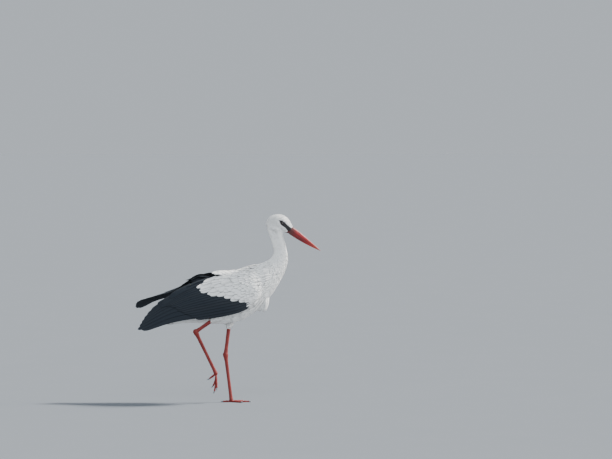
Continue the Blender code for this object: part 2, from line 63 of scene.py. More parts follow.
def through(knots, x):
    # the smooth line through a few (x, value) knots, held past its ends
    if x <= knots[0][0]:
        return knots[0][1]
    if x >= knots[-1][0]:
        return knots[-1][1]
    i = max(k for k in range(len(knots) - 1) if knots[k][0] <= x)

    def slope(k):
        low, high = max(k - 1, 0), min(k + 1, len(knots) - 1)
        return (knots[high][1] - knots[low][1]) / (knots[high][0] - knots[low][0])

    (x0, y0), (x1, y1) = knots[i], knots[i + 1]
    step = x1 - x0
    t = (x - x0) / step
    ends = y0 * (1 + 2 * t) * (1 - t) ** 2 + y1 * t * t * (3 - 2 * t)
    return ends + step * (slope(i) * t * (1 - t) ** 2 + slope(i + 1) * t * t * (t - 1))


def rowAt(rows, t):
    return [through([(k, row[c]) for k, row in enumerate(rows)], t) for c in range(len(rows[0]))]


# node trees

class Wire:
    # an output of a node; sums of wires read as sums
    def __init__(self, graph, node, output=0):
        self.graph = graph
        self.node = node
        self.socket = node.outputs[output]

    def out(self, name):
        return Wire(self.graph, self.node, name)

    def math(self, kind, *others):
        return self.graph.math(kind, self, *others)

    def __add__(self, other):
        return self.math("ADD", other)

    def __radd__(self, other):
        return self.math("ADD", other)

    def __sub__(self, other):
        return self.math("SUBTRACT", other)

    def __rsub__(self, other):
        return self.graph.math("SUBTRACT", other, self)

    def __mul__(self, other):
        return self.math("MULTIPLY", other)

    def __rmul__(self, other):
        return self.math("MULTIPLY", other)

    def __truediv__(self, other):
        return self.math("DIVIDE", other)

    def __rtruediv__(self, other):
        return self.graph.math("DIVIDE", other, self)

    def __pow__(self, other):
        return self.math("POWER", other)


class Graph:
    # a node tree, of a material or of Geometry Nodes
    def __init__(self, tree):
        self.tree = tree

    def add(self, kind, settings=None, sockets=None, output=0):
        node = self.tree.nodes.new(kind)
        for name, value in (settings or {}).items():
            setattr(node, name, value)
        for key, value in (sockets or {}).items():
            self.feed(node.inputs[key], value)
        return Wire(self, node, output)

    def feed(self, socket, value):
        if isinstance(value, Wire):
            self.tree.links.new(value.socket, socket)
        else:
            socket.default_value = value

    def math(self, kind, *values):
        return self.add("ShaderNodeMath", {"operation": kind}, dict(enumerate(values)))

    def vector(self, kind, *values, output=0):
        return self.add("ShaderNodeVectorMath", {"operation": kind}, dict(enumerate(values)), output)

    def scaled(self, vector, factor):
        return self.add("ShaderNodeVectorMath", {"operation": "SCALE"}, {0: vector, "Scale": factor})

    def combined(self, *values):
        return self.add("ShaderNodeCombineXYZ", None, dict(enumerate(values)))

    def between(self, value, low, high):
        # 0 below low, 1 above high, smooth in between
        sockets = {"Value": value, "From Min": low, "From Max": high}
        return self.add("ShaderNodeMapRange", {"interpolation_type": "SMOOTHSTEP"}, sockets)

    # in materials

    def blend(self, factor, one, other):
        # a mix of two colours
        return self.add("ShaderNodeMix", {"data_type": "RGBA"}, {0: factor, 6: one, 7: other}, 2)

    def place(self):
        return self.add("ShaderNodeTexCoord", output="Object")

    def marked(self, name):
        return self.add("ShaderNodeAttribute", {"attribute_name": name}, output="Fac")

    def noise(self, place, scale, detail):
        return self.add("ShaderNodeTexNoise", None, {"Vector": place, "Scale": scale, "Detail": detail})

    def bump(self, height, strength, distance):
        sockets = {"Strength": strength, "Distance": distance, "Height": height}
        return self.add("ShaderNodeBump", None, sockets)

    # in Geometry Nodes

    def read(self, name, kind="FLOAT"):
        return self.add("GeometryNodeInputNamedAttribute", {"data_type": kind}, {"Name": name})

    def keep(self, geometry, name, value, kind="FLOAT", domain="POINT"):
        sockets = {"Geometry": geometry, "Name": name, "Value": value}
        return self.add("GeometryNodeStoreNamedAttribute", {"data_type": kind, "domain": domain}, sockets)

    def chance(self, low, high, seed):
        sockets = {2: low, 3: high, "Seed": seed}
        return self.add("FunctionNodeRandomValue", {"data_type": "FLOAT"}, sockets, 1)

    def repeated(self, vane, points, **sockets):
        # the vane at every point, as faces of its own
        form = self.add("GeometryNodeObjectInfo", None, {"Object": vane}, output="Geometry")
        sockets = {"Points": points, "Instance": form, **sockets}
        placed = self.add("GeometryNodeInstanceOnPoints", None, sockets)
        return self.add("GeometryNodeRealizeInstances", None, {"Geometry": placed})

    def closed(self, geometry, material):
        # the end of each tree
        solid = self.add("GeometryNodeRealizeInstances", None, {"Geometry": geometry})
        return self.add("GeometryNodeSetMaterial", None, {"Geometry": solid, "Material": material})


def finish(name, build, surface):
    # a material: surface holds the shader's constant sockets, build feeds the ones that vary
    material = bpy.data.materials.new(name)
    material.use_nodes = True
    graph = Graph(material.node_tree)
    shader = material.node_tree.nodes["Principled BSDF"]
    for socket, value in surface.items():
        shader.inputs[socket].default_value = value
    for socket, value in build(graph).items():
        graph.feed(shader.inputs[socket], value)
    return material


def paint(*rgb):
    return (*rgb, 1.0)


def growTree(name, inputs, build):
    # a Geometry Nodes tree with named inputs; build gets the graph and the wires of the inputs
    tree = bpy.data.node_groups.new(name, "GeometryNodeTree")
    tree.interface.new_socket("Geometry", in_out="INPUT", socket_type="NodeSocketGeometry")
    for label, kind in inputs.items():
        tree.interface.new_socket(label, in_out="INPUT", socket_type="NodeSocket" + kind)
    tree.interface.new_socket("Geometry", in_out="OUTPUT", socket_type="NodeSocketGeometry")
    graph = Graph(tree)
    start = tree.nodes.new("NodeGroupInput")
    end = tree.nodes.new("NodeGroupOutput")
    wires = {label: Wire(graph, start, label) for label in ["Geometry", *inputs]}
    graph.feed(end.inputs[0], build(graph, wires))
    return tree


def grown(name, mesh, tree, values):
    # what a tree makes on a mesh, as a plain mesh object of its own
    host = plainObject("host", mesh)
    modifier = host.modifiers.new(name, "NODES")
    modifier.node_group = tree
    for item in tree.interface.items_tree:
        if item.item_type == "SOCKET" and item.in_out == "INPUT" and item.name in values:
            modifier[item.identifier] = values[item.name]
    made = finalMesh(host)
    bpy.data.objects.remove(host)
    made.name = name
    for label in [a.name for a in made.attributes if a.name in strays]:
        made.attributes.remove(made.attributes[label])
    return plainObject(name, made)


# attributes that only the trees need
strays = ["lie", "plume", "rise", "rootPlace", "inHead", "inNeck", "inBody", "inThigh", "inArm", "bare",
          "gape", "dark", "which", "where", "reach", "topped"]


def finalMesh(thing):
    # the object's mesh with its modifiers applied
    return bpy.data.meshes.new_from_object(thing.evaluated_get(bpy.context.evaluated_depsgraph_get()))


def plainObject(name, mesh):
    thing = bpy.data.objects.new(name, mesh)
    bpy.context.scene.collection.objects.link(thing)
    return thing


def modified(mesh, **modifiers):
    # the mesh after modifiers, each by its kind and with its settings
    draft = plainObject("draft", mesh)
    for kind, settings in modifiers.items():
        modifier = draft.modifiers.new(kind, kind.upper())
        for name, value in settings.items():
            setattr(modifier, name, value)
    made = finalMesh(draft)
    bpy.data.objects.remove(draft)
    return made


def meshOf(name, points, faces):
    mesh = bpy.data.meshes.new(name)
    mesh.from_pydata([tuple(p) for p in points], [], faces)
    mesh.update()
    return mesh


def settle(piece, slot, *replaced):
    # the piece rides on the body and stands for its CAD nodes
    piece.data.shade_smooth()
    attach(piece, root)
    if replaced:
        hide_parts(*replaced)
    triangles = sum(len(p.vertices) - 2 for p in piece.data.polygons)
    print("stork:", piece.name, triangles, "triangles")


def nodeCopies(names, grow=0.0):
    # copies of CAD nodes in one mesh, welded and grown, and which of them each face came from
    whole = bmesh.new()
    owners = []
    for k, name in enumerate(names):
        part = bmesh.new()
        part.from_mesh(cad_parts[name].data)
        bmesh.ops.remove_doubles(part, verts=part.verts, dist=0.00001)
        part.normal_update()
        for v in part.verts:
            v.co += v.normal * grow
        mesh = bpy.data.meshes.new("part")
        part.to_mesh(mesh)
        part.free()
        whole.from_mesh(mesh)
        owners += [k] * len(mesh.polygons)
        bpy.data.meshes.remove(mesh)
    tree = BVHTree.FromBMesh(whole)
    mesh = bpy.data.meshes.new("copies")
    whole.to_mesh(mesh)
    whole.free()
    return mesh, tree, owners


def meltedNodes(names, sizes):
    # the copies melted into one closed skin, and what tells which node a point belongs to
    mesh, tree, owners = nodeCopies(names, sizes["overlap"])
    melt = {"mode": "VOXEL", "voxel_size": sizes["voxel"]}
    melted = modified(mesh, remesh=melt, smooth={"iterations": sizes["smoothing"]})

    def nodeAt(points):
        return np.array([owners[tree.find_nearest(Vector(p))[2]] for p in points])

    return melted, nodeAt


# meshes as arrays

def arrayOf(items, field, width=3, kind=np.float32):
    flat = np.zeros(len(items) * width, kind)
    items.foreach_get(field, flat)
    return flat.reshape(-1, width)


def coordinatesOf(mesh):
    return arrayOf(mesh.vertices, "co").astype(float)


def normalsOf(mesh):
    return arrayOf(mesh.vertices, "normal").astype(float)


def edgesOf(mesh):
    return arrayOf(mesh.edges, "vertices", 2, np.int32)


def relaxed(values, edges, rounds):
    # each vertex's value drawn towards its neighbours'
    values = np.array(values, float)
    flat = values.reshape(len(values), -1)
    a, b = edges[:, 0], edges[:, 1]
    count = np.bincount(a, minlength=len(flat)) + np.bincount(b, minlength=len(flat)) + 1.0
    for _ in range(rounds):
        for c in range(flat.shape[1]):
            column = flat[:, c]
            total = np.bincount(a, column[b], len(flat)) + np.bincount(b, column[a], len(flat)) + column
            flat[:, c] = total / count
    return flat.reshape(values.shape)


def ramp(values, start, width):
    # 0 up to the start, 1 past the width after it
    return np.clip((values - start) / width, 0, 1)


def unit(vectors):
    return vectors / np.maximum(np.linalg.norm(vectors, axis=1), 1e-9)[:, None]


def store(mesh, name, values):
    values = np.asarray(values, np.float32)
    kind = "FLOAT_VECTOR" if values.ndim == 2 else "FLOAT"
    attribute = mesh.attributes.new(name, kind, "POINT")
    attribute.data.foreach_set("vector" if values.ndim == 2 else "value", values.ravel())


def outwards(mesh):
    # doubles merged and every face turned outwards
    bm = bmesh.new()
    bm.from_mesh(mesh)
    bmesh.ops.remove_doubles(bm, verts=bm.verts, dist=0.000001)
    bmesh.ops.recalc_face_normals(bm, faces=bm.faces)
    bm.to_mesh(mesh)
    bm.free()
    mesh.update()


def tubeFaces(rings, around):
    # the faces of a closed tube whose points stand ring by ring
    faces = []
    for k in range(rings - 1):
        for m in range(around):
            a, b = around * k + m, around * k + (m + 1) % around
            faces.append((a, b, b + around, a + around))
    faces += [tuple(reversed(range(around))), tuple(around * (rings - 1) + m for m in range(around))]
    return faces


# skin

skinSizes = {
    "voxel": 0.0030,
    "overlap": 0.0005,  # the flesh nodes are grown by this so that they melt together
    "smoothing": 5,
    # rounds of smoothing, where, how wide, share filled everywhere and there
    "creases": [(36, (0.213, 0.748), 0.036, 0.45, 0.75), (60, (0.150, 0.505), 0.050, 0.0, 0.9)],
    # forward and up along the back of the neck, the most that it is filled out to that, and from where up
    "nape": [(0.1965, 0.649), (0.1935, 0.6815), (0.1860, 0.717), (0.1775, 0.740), (0.1690, 0.762),
             (0.1645, 0.780), (0.1640, 0.792)],
    "napeMost": 0.014,
    "napeFrom": (0.665, 0.035),
    "napeEased": (0.186, 0.760, 0.028),  # forward, up, how wide
    "flesh": ["trunk", "neck_lower", "neck_upper", "head", "thigh_left", "thigh_right",
              "wing_left_arm", "wing_right_arm"],
    # forward, up: from the bill's base over the neck to the tail
    "spine": [(0.285, 0.757), (0.262, 0.776), (0.238, 0.786), (0.218, 0.778), (0.209, 0.755), (0.213, 0.730),
              (0.2225, 0.700), (0.230, 0.665), (0.228, 0.628), (0.215, 0.595), (0.192, 0.565), (0.160, 0.535),
              (0.112, 0.502), (0.050, 0.470), (-0.020, 0.453), (-0.085, 0.438), (-0.150, 0.421),
              (-0.203, 0.397), (-0.240, 0.373), (-0.270, 0.355)],
    # feather length at a distance down the spine
    "plumeAlong": [(0, 0.0045), (0.03, 0.0060), (0.07, 0.0095), (0.11, 0.014), (0.17, 0.019), (0.24, 0.024),
                   (0.32, 0.030), (0.45, 0.034), (0.80, 0.038)],
    "plumeThigh": 0.020,
    "plumeArm": [(-0.16, 0.038), (0.0, 0.030), (0.10, 0.030), (0.16, 0.028)],  # by the forward place
    "armFall": -0.20,  # how steeply the wing's small feathers point down
    "rump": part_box("trunk")[1].y * -1 + 0.016,
    "darkDown": (-0.028, 0.525),  # behind and above this the wing's own down is black
    # by the height: forward of this the wing has small scattered feathers, and behind it laid rows
    "wrist": [(0.440, 0.100), (0.458, 0.085)],
    "thighEnd": 0.006,  # bare at the thigh's lower end
    "depth": 0.17,  # coat depth as a share of the feather length
    "depthLimits": (0.0009, 0.0046),
}
headPose = {"eye": (0.238, 0.789), "tilt": math.radians(-34), "eyeOut": 0.0176, "eyeRadius": 0.0085}


def headPlace(along, rise, left=0.0):
    # along the head's axis from the eye, above that axis, and to the left
    forward, up = headPose["eye"]
    c, s = math.cos(headPose["tilt"]), math.sin(headPose["tilt"])
    return bird(forward + along * c - rise * s, left, up + along * s + rise * c)


def headCoordinates(points):
    forward, up = -points[:, 1] - headPose["eye"][0], points[:, 2] - headPose["eye"][1]
    c, s = math.cos(headPose["tilt"]), math.sin(headPose["tilt"])
    return forward * c + up * s, up * c - forward * s


def spineReadings(points):
    # distance down the spine and its direction, at the nearest place of the spine
    knots = np.array([(-f, u) for f, u in skinSizes["spine"]])
    steps = np.linalg.norm(np.diff(knots, axis=0), axis=1)
    reach = np.concatenate([[0], np.cumsum(steps)])
    fine = np.linspace(0, reach[-1], 240)
    line = np.stack([np.interp(fine, reach, knots[:, c]) for c in (0, 1)], axis=1)
    tangent = unit(np.gradient(line, axis=0))
    away = ((points[:, None, 1:3] - line[None]) ** 2).sum(2)
    near = away.argmin(1)
    return fine[near], tangent[near]


def bareShare(points):
    # 1 on the black skin from the eye to the bill and under the chin, 0 on the feathered head
    along, rise = headCoordinates(points)
    middle = np.interp(along, [-0.015, 0, 0.02, 0.036, 0.05], [0.0025, 0.001, -0.001, -0.005, -0.009])
    half = np.interp(
        along,
        [-0.020, -0.013, -0.006, 0.002, 0.012, 0.024, 0.036, 0.048, 0.06],
        [0.0005, 0.0060, 0.0105, 0.0125, 0.0110, 0.0098, 0.0115, 0.0165, 0.018],
    )
    lores = 1 - np.abs(rise - middle) / half
    chin = 1 - np.sqrt(((along - 0.043) / 0.017) ** 2 + (points[:, 0] / 0.010) ** 2)
    chin[rise > -0.018] = 0
    share = np.maximum(lores, chin) * 3.0
    share[(along < -0.03) | (along > 0.07)] = 0
    return np.clip(share, 0, 1)


def gapeShare(points):
    # 1 on the red skin behind the lower half of the bill
    along, rise = headCoordinates(points)
    return ramp(along, 0.036, 0.005) * ramp(-rise, 0.0105, 0.004)


lids = {
    "reach": 0.018,  # the skin is shaped this far round the eye
    "aside": 0.010,  # and further to the side than this
    "finer": (0.015, 0.0115),  # and divided once more inside each of these
    "proud": 0.0007,  # the lid over the eyeball, and the skin below it inside the opening
    "sunk": 0.0014,
    "opening": (0.0049, 0.0007),  # radius and how soft its edge is
    "fade": (0.0072, 0.0040),
    "oval": (1.06, 0.92),
}


def shapeLids(mesh):
    # the skin dives under the eyeball inside the lids' opening, and stands over it as a lid outside
    eye = headPose["eyeRadius"]
    opening, soft = lids["opening"]
    fade, faded = lids["fade"]
    bm = bmesh.new()
    bm.from_mesh(mesh)
    for radius in lids["finer"]:
        near = set()
        for side in (1, -1):
            centre = headPlace(0, 0, side * headPose["eyeOut"])
            near |= {e for e in bm.edges if (((e.verts[0].co + e.verts[1].co) / 2) - centre).length < radius}
        bmesh.ops.subdivide_edges(bm, edges=list(near), cuts=1, use_grid_fill=True, smooth=0.3)
    for side in (1, -1):
        centre = headPlace(0, 0, side * headPose["eyeOut"])
        for v in bm.verts:
            if (v.co - centre).length > lids["reach"] or v.co.x * side < lids["aside"]:
                continue
            along, rise = (float(w[0]) for w in headCoordinates(np.array([v.co])))
            apart = math.hypot(along / lids["oval"][0], (rise - 0.0002) / lids["oval"][1])
            lidded = math.sqrt(max((eye + lids["proud"]) ** 2 - apart**2, 0))
            hidden = math.sqrt(max((eye - lids["sunk"]) ** 2 - apart**2, 0))
            shaped = hidden + (lidded - hidden) * ease((apart - opening) / soft)
            out = v.co.x * side - headPose["eyeOut"]
            v.co.x = side * (headPose["eyeOut"] + shaped + (out - shaped) * ease((apart - fade) / faded))
    bmesh.ops.triangulate(bm, faces=bm.faces)
    bm.to_mesh(mesh)
    bm.free()
    mesh.update()


def fillCreases(points, normals, edges):
    # creases between the nodes are filled, most of all under the back of the head
    for rounds, spot, wide, everywhere, there in skinSizes["creases"]:
        fill = ((relaxed(points, edges, rounds) - points) * normals).sum(1)
        apart = np.linalg.norm((points - np.array(bird(spot[0], 0, spot[1])))[:, 1:3], axis=1)
        weight = everywhere + there * np.exp(-((apart / wide) ** 2))
        points += normals * (np.maximum(fill, 0) * weight)[:, None]


def fillNape(points, normals, edges):
    # the back of the neck is filled out to the nape's line, and eased where the head meets it
    nape = skinSizes["nape"]
    line = np.interp(points[:, 2], [u for _, u in nape], [f for f, _ in nape], left=-1, right=-1)
    facing = np.clip(normals[:, 1], 0, 1) ** 1.3
    lack = np.where(line > 0, np.clip(-points[:, 1] - line, 0, skinSizes["napeMost"]), 0) * facing
    points[:, 1] += lack * ramp(points[:, 2], *skinSizes["napeFrom"])
    forward, up, wide = skinSizes["napeEased"]
    under = np.exp(-((np.linalg.norm(points[:, 1:3] - (-forward, up), axis=1) / wide) ** 2))
    return points + (relaxed(points, edges, 10) - points) * under[:, None]


def featherLie(points, normals, edges, node, mesh):
    # at each point: the way its feather lies, the way out of the plumage, and the feather's length
    names = skinSizes["flesh"]
    reach, tangent = spineReadings(points)
    plume = np.interp(reach, *zip(*skinSizes["plumeAlong"]))
    lie = np.stack([np.zeros(len(points)), tangent[:, 0], tangent[:, 1]], axis=1)
    ends = np.zeros(len(points), bool)
    for side in ("left", "right"):
        thigh = node == names.index("thigh_" + side)
        shankLow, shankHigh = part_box("shank_" + side)
        thighLow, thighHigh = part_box("thigh_" + side)
        down = ((shankLow + shankHigh) / 2 - (thighLow + thighHigh) / 2).normalized()
        lie[thigh] = down
        plume[thigh] = skinSizes["plumeThigh"]
        depth = points @ np.array(down)
        ends |= thigh & (depth > depth[thigh].max() - skinSizes["thighEnd"])
        arm = node == names.index(f"wing_{side}_arm")
        lie[arm] = bird(-1, 0, skinSizes["armFall"]).normalized()
        plume[arm] = np.interp(-points[arm, 1], *zip(*skinSizes["plumeArm"]))
    plume = relaxed(plume, edges, 10)
    lie = relaxed(lie, edges, 14)
    rise = unit(relaxed(normals, edges, 4))
    lie = unit(lie - rise * (lie * rise).sum(1)[:, None])
    # a feather whose tip would sink into the skin is raised, one that would stand off is lowered
    smooth = BVHTree.FromPolygons([Vector(p) for p in points], [tuple(f.vertices) for f in mesh.polygons])
    tips = [smooth.find_nearest(Vector(p))[0] for p in points + lie * plume[:, None]]
    climb = ((np.array(tips) - points) * rise).sum(1)
    climb = relaxed(np.where(climb > 0, climb * 1.15, climb * 0.45), edges, 3)
    lie = unit(lie * plume[:, None] + rise * climb[:, None])
    rise = unit(rise - lie * (lie * rise).sum(1)[:, None])
    return lie, rise, plume, ends


def markSkin(mesh, points, node, ends):
    # where each coat grows, and where the skin is bare, red or black
    names = skinSizes["flesh"]
    forward, up = -points[:, 1], points[:, 2]
    gape = gapeShare(points) * (node == names.index("head"))
    bare = np.maximum(bareShare(points) * (node == names.index("head")), gape)
    masks = {
        "inHead": ["head"],
        "inNeck": ["neck_lower", "neck_upper"],
        "inBody": ["trunk"],
        "inThigh": ["thigh_left", "thigh_right"],
        "inArm": ["wing_left_arm", "wing_right_arm"],
    }
    limits = {
        "inArm": ramp(forward - np.interp(up, *zip(*skinSizes["wrist"])), 0, 0.012),
        "inBody": ramp(forward, skinSizes["rump"], 0.006),
    }
    for label, members in masks.items():
        inside = np.isin(node, [names.index(m) for m in members]).astype(float)
        inside[ends] = 0
        inside *= limits.get(label, 1)
        store(mesh, label, inside * (1 - np.minimum(bare * 4, 1)))
    store(mesh, "bare", bare)
    store(mesh, "gape", gape)
    arms = np.isin(node, [names.index(m) for m in masks["inArm"]])
    behind, above = skinSizes["darkDown"]
    store(mesh, "dark", arms * ramp(-forward, -behind, 0.006) * ramp(up, above, 0.006))


def makeSkin():
    mesh, nodeAt = meltedNodes(skinSizes["flesh"], skinSizes)
    points, normals, edges = coordinatesOf(mesh), normalsOf(mesh), edgesOf(mesh)
    fillCreases(points, normals, edges)
    points = fillNape(points, normals, edges)
    points = points + (relaxed(points, edges, 3) - points) * 0.7
    print("stork: skin melted,", len(points), "points")
    node = nodeAt(points)
    lie, rise, plume, ends = featherLie(points, normals, edges, node, mesh)
    depth = np.clip(plume * skinSizes["depth"], *skinSizes["depthLimits"])
    points = points - normals * (depth + skinSizes["overlap"])[:, None]
    mesh.vertices.foreach_set("co", points.astype(np.float32).ravel())
    store(mesh, "lie", lie)
    store(mesh, "rise", rise)
    store(mesh, "plume", plume)
    markSkin(mesh, points, node, ends)
    shapeLids(mesh)
    skin = plainObject("skin", mesh)
    unwrap(skin)
    return skin


def unwrap(thing):
    bpy.ops.object.select_all(action="DESELECT")
    bpy.context.view_layer.objects.active = thing
    thing.select_set(True)
    thing.data.uv_layers.new(name="OFBake")
    bpy.ops.object.mode_set(mode="EDIT")
    bpy.ops.mesh.select_all(action="SELECT")
    bpy.ops.uv.smart_project(angle_limit=math.radians(66), island_margin=0.002)
    bpy.ops.object.mode_set(mode="OBJECT")
    thing.select_set(False)


skin = makeSkin()
print("stork: skin shaped")


class Ground:
    # the skin as the feathers' ground: its nearest place to a point, and the unwrap there
    def __init__(self, mesh):
        mesh.calc_loop_triangles()
        self.points = [v.co.copy() for v in mesh.vertices]
        self.triangles = [tuple(t.vertices) for t in mesh.loop_triangles]
        self.loops = [tuple(t.loops) for t in mesh.loop_triangles]
        self.uv = mesh.uv_layers["OFBake"].data
        self.tree = BVHTree.FromPolygons(self.points, self.triangles)

    def near(self, point):
        place, normal, face, _ = self.tree.find_nearest(point)
        return place, normal, face

    def patch(self, point):
        place, _, face = self.near(point)
        a, b, c = (self.points[k] for k in self.triangles[face])
        ua, ub, uc = (self.uv[k].uv for k in self.loops[face])
        area = (b - a).cross(c - a).length or 1.0
        wa = (b - place).cross(c - place).length / area
        wb = (a - place).cross(c - place).length / area
        wc = max(1 - wa - wb, 0)
        return Vector((*(ua * wa + ub * wb + uc * wc), 0))


ground = Ground(skin.data)


# finishes of the plumage

def featherLook(name, colours, surface, barbs, relief):
    # shades at the root, body, edge and shaft, and of an odd feather; barbs run slantwise from the shaft
    def build(graph):
        vane = graph.add("ShaderNodeSeparateXYZ", None, {0: graph.add("ShaderNodeUVMap", {"uv_map": "vane"})})
        apart = (vane.out("X") - 0.5).math("ABSOLUTE") * 2
        along = vane.out("Y")
        slant = along * barbs - apart * barbs * 0.22 + graph.noise(graph.place(), 110.0, 3.0) * 1.6
        ridges = (slant * math.tau).math("SINE") * 0.5 + 0.5
        shaft = 1 - graph.between(apart, 0.03, 0.10)
        body = graph.blend(graph.between(along, 0.0, 0.55), paint(*colours["root"]), paint(*colours["body"]))
        edge = graph.between(apart + along * 0.25, 0.85, 1.2)
        body = graph.blend(edge * 0.6, body, paint(*colours["edge"]))
        body = graph.blend(shaft * 0.5, body, paint(*colours["shaft"]))
        body = graph.blend(graph.marked("tone") * colours["spread"], body, paint(*colours["odd"]))
        body = graph.blend(ridges * 0.12, body, paint(*colours["root"]))
        return {"Base Color": body, "Normal": graph.bump(ridges * 0.5 + shaft * 0.8, relief, 0.0004)}

    return finish(name, build, surface)


whiteFeather = featherLook(
    "whiteFeather",
    {"root": (0.84, 0.835, 0.82), "body": (0.89, 0.885, 0.865), "edge": (0.92, 0.915, 0.895),
     "shaft": (0.83, 0.815, 0.78), "odd": (0.83, 0.815, 0.775), "spread": 0.35},
    {"Roughness": 0.72, "Specular IOR Level": 0.25, "Sheen Weight": 0.15, "Sheen Roughness": 0.5},
    barbs=26.0, relief=0.35,
)
blackFeather = featherLook(
    "blackFeather",
    {"root": (0.036, 0.042, 0.050), "body": (0.023, 0.029, 0.037), "edge": (0.038, 0.043, 0.050),
     "shaft": (0.010, 0.012, 0.015), "odd": (0.034, 0.037, 0.042), "spread": 0.5},
    {"Roughness": 0.80, "Specular IOR Level": 0.10, "Sheen Weight": 0.0},
    barbs=70.0, relief=0.45,
)


def skinLook():
    # white down, black bare skin on the face, red behind the bill, and black down over the folded wings
    def build(graph):
        place = graph.place()
        pores = graph.noise(place, 900.0, 3.0)
        folds = graph.add("ShaderNodeTexVoronoi", None, {"Vector": place, "Scale": 700.0})
        face = graph.blend(pores, paint(0.010, 0.010, 0.011), paint(0.035, 0.033, 0.034))
        face = graph.blend(graph.between(graph.marked("gape"), 0.2, 0.8), face, paint(0.12, 0.014, 0.015))
        down = graph.blend(pores, paint(0.82, 0.81, 0.785), paint(0.88, 0.87, 0.845))
        down = graph.blend(graph.between(graph.marked("dark"), 0.2, 0.8), down, paint(0.012, 0.013, 0.016))
        colour = graph.blend(graph.between(graph.marked("bare"), 0.25, 0.75), down, face)
        return {"Base Color": colour, "Normal": graph.bump(pores * 0.6 + folds * 0.6, 0.5, 0.0003)}

    return finish("faceAndDown", build, {"Roughness": 0.55, "Specular IOR Level": 0.35})


skin.data.materials.append(skinLook())
settle(skin, "plumage", *skinSizes["flesh"])


# contour feathers, scattered over the skin

vaneForm = {
    # share of the length, half width, and lift over the chord
    "round": [(0.0, 0.10, 0.0), (0.16, 0.52, 0.018), (0.40, 0.90, 0.032), (0.66, 1.0, 0.028),
              (0.88, 0.74, 0.006), (1.0, 0.16, -0.020)],
    "fine": [(0.0, 0.22, 0.0), (0.32, 0.86, 0.030), (0.72, 0.80, 0.018), (1.0, 0.10, -0.025)],
    "camber": 0.07,
    "thickness": 0.030,
}


def vaneObject(name, points, faces, across):
    # a single feather to be repeated, with its own map across and along it
    mesh = meshOf(name, points, faces)
    layer = mesh.uv_layers.new(name="vane")
    for loop in mesh.loops:
        layer.data[loop.index].uv = across[loop.vertex_index]
    return plainObject(name, mesh)


def smallVane(form):
    # a closed thin vane, one long and one wide, with a low ridge down its middle
    points, across = [], []
    ring = [(-1, -vaneForm["camber"]), (0, 0), (1, -vaneForm["camber"]), (0, -vaneForm["thickness"])]
    for u, half, lift in vaneForm[form]:
        for a, drop in ring:
            points.append((a * half / 2, u, lift + drop * half))
            across.append((0.5 + a * half / 2, u))
    return vaneObject("smallVane", points, tubeFaces(len(vaneForm[form]), len(ring)), across)


def bakePatch(graph, geometry, rootPlace):
    # every vane's patch of the skin's unwrap, about 0.003 across, at its root
    centred = graph.vector("SUBTRACT", graph.read("vane", "FLOAT_VECTOR"), (0.5, 0.5, 0))
    place = graph.vector("ADD", rootPlace, graph.scaled(centred, 0.003))
    return graph.keep(geometry, "OFBake", place, "FLOAT2", "CORNER")


def coatBuild(graph, wires):
    spacing, seed, stray = wires["Spacing"], wires["Seed"], wires["Stray"]
    spread = graph.add(
        "GeometryNodeDistributePointsOnFaces", {"distribute_method": "POISSON"},
        {"Mesh": wires["Geometry"], "Distance Min": spacing, "Density Max": 1.6 / (spacing * spacing),
         "Density Factor": graph.read("where"), "Seed": seed},
    )
    points = graph.keep(spread, "rootPlace", graph.read("OFBake", "FLOAT_VECTOR"), "FLOAT_VECTOR")
    points = graph.add("GeometryNodeRemoveAttribute", None, {"Geometry": points, "Name": "OFBake"})
    points = graph.keep(points, "tone", graph.chance(0.0, 1.0, seed + 1) ** 3)
    facing = graph.add(
        "FunctionNodeAxesToRotation", {"primary_axis": "Z", "secondary_axis": "Y"},
        {0: graph.read("rise", "FLOAT_VECTOR"), 1: graph.read("lie", "FLOAT_VECTOR")},
    )
    turn = graph.combined(
        wires["Lift"] + graph.chance(-0.03, 0.03, seed + 2),
        graph.chance(-0.5, 0.5, seed + 3) * stray,
        graph.chance(-1.0, 1.0, seed + 4) * stray,
    )
    turned = graph.add(
        "FunctionNodeRotateRotation", {"rotation_space": "LOCAL"},
        {0: facing, 1: graph.add("FunctionNodeEulerToRotation", None, {0: turn})},
    )
    length = graph.read("plume") * graph.chance(0.85, 1.15, seed + 5)
    size = graph.combined(length * wires["Width"], length, length)
    solid = graph.repeated(wires["Vane"], points, Rotation=turned, Scale=size)
    mapped = bakePatch(graph, solid, graph.read("rootPlace", "FLOAT_VECTOR"))
    return graph.closed(mapped, wires["Material"])


coatTree = growTree(
    "contourFeathers",
    {"Vane": "Object", "Spacing": "Float", "Width": "Float", "Lift": "Float", "Stray": "Float", "Seed": "Int",
     "Material": "Material"},
    coatBuild,
)
# where each coat grows, its feathers' form, distance apart, width by length, angle off the skin, how
# untidy they lie, and the seed
coats = {
    "coat_head": ("inHead", "fine", 0.0014, 0.30, 0.09, 0.10, 11),
    "coat_neck": ("inNeck", "fine", 0.0018, 0.25, 0.05, 0.07, 21),
    "coat_body": ("inBody", "round", 0.0050, 0.36, 0.050, 0.06, 31),
    "coat_thighs": ("inThigh", "fine", 0.0032, 0.26, 0.10, 0.10, 41),
    "coat_arms": ("inArm", "round", 0.0060, 0.36, 0.02, 0.04, 51),
}


def coverSkin():
    mesh = skin.data.copy()
    for name, (mask, form, spacing, width, lift, stray, seed) in coats.items():
        vane = smallVane(form)
        where = arrayOf(mesh.attributes[mask].data, "value", 1)[:, 0]
        if "where" in mesh.attributes:
            mesh.attributes.remove(mesh.attributes["where"])
        store(mesh, "where", where)
        values = {"Vane": vane, "Spacing": spacing, "Width": width, "Lift": lift, "Stray": stray,
                  "Seed": seed, "Material": whiteFeather}
        settle(grown(name, mesh, coatTree, values), "plumage")
        bpy.data.objects.remove(vane)


coverSkin()


# feathers laid one by one; first half the width of a vane at a share of its length

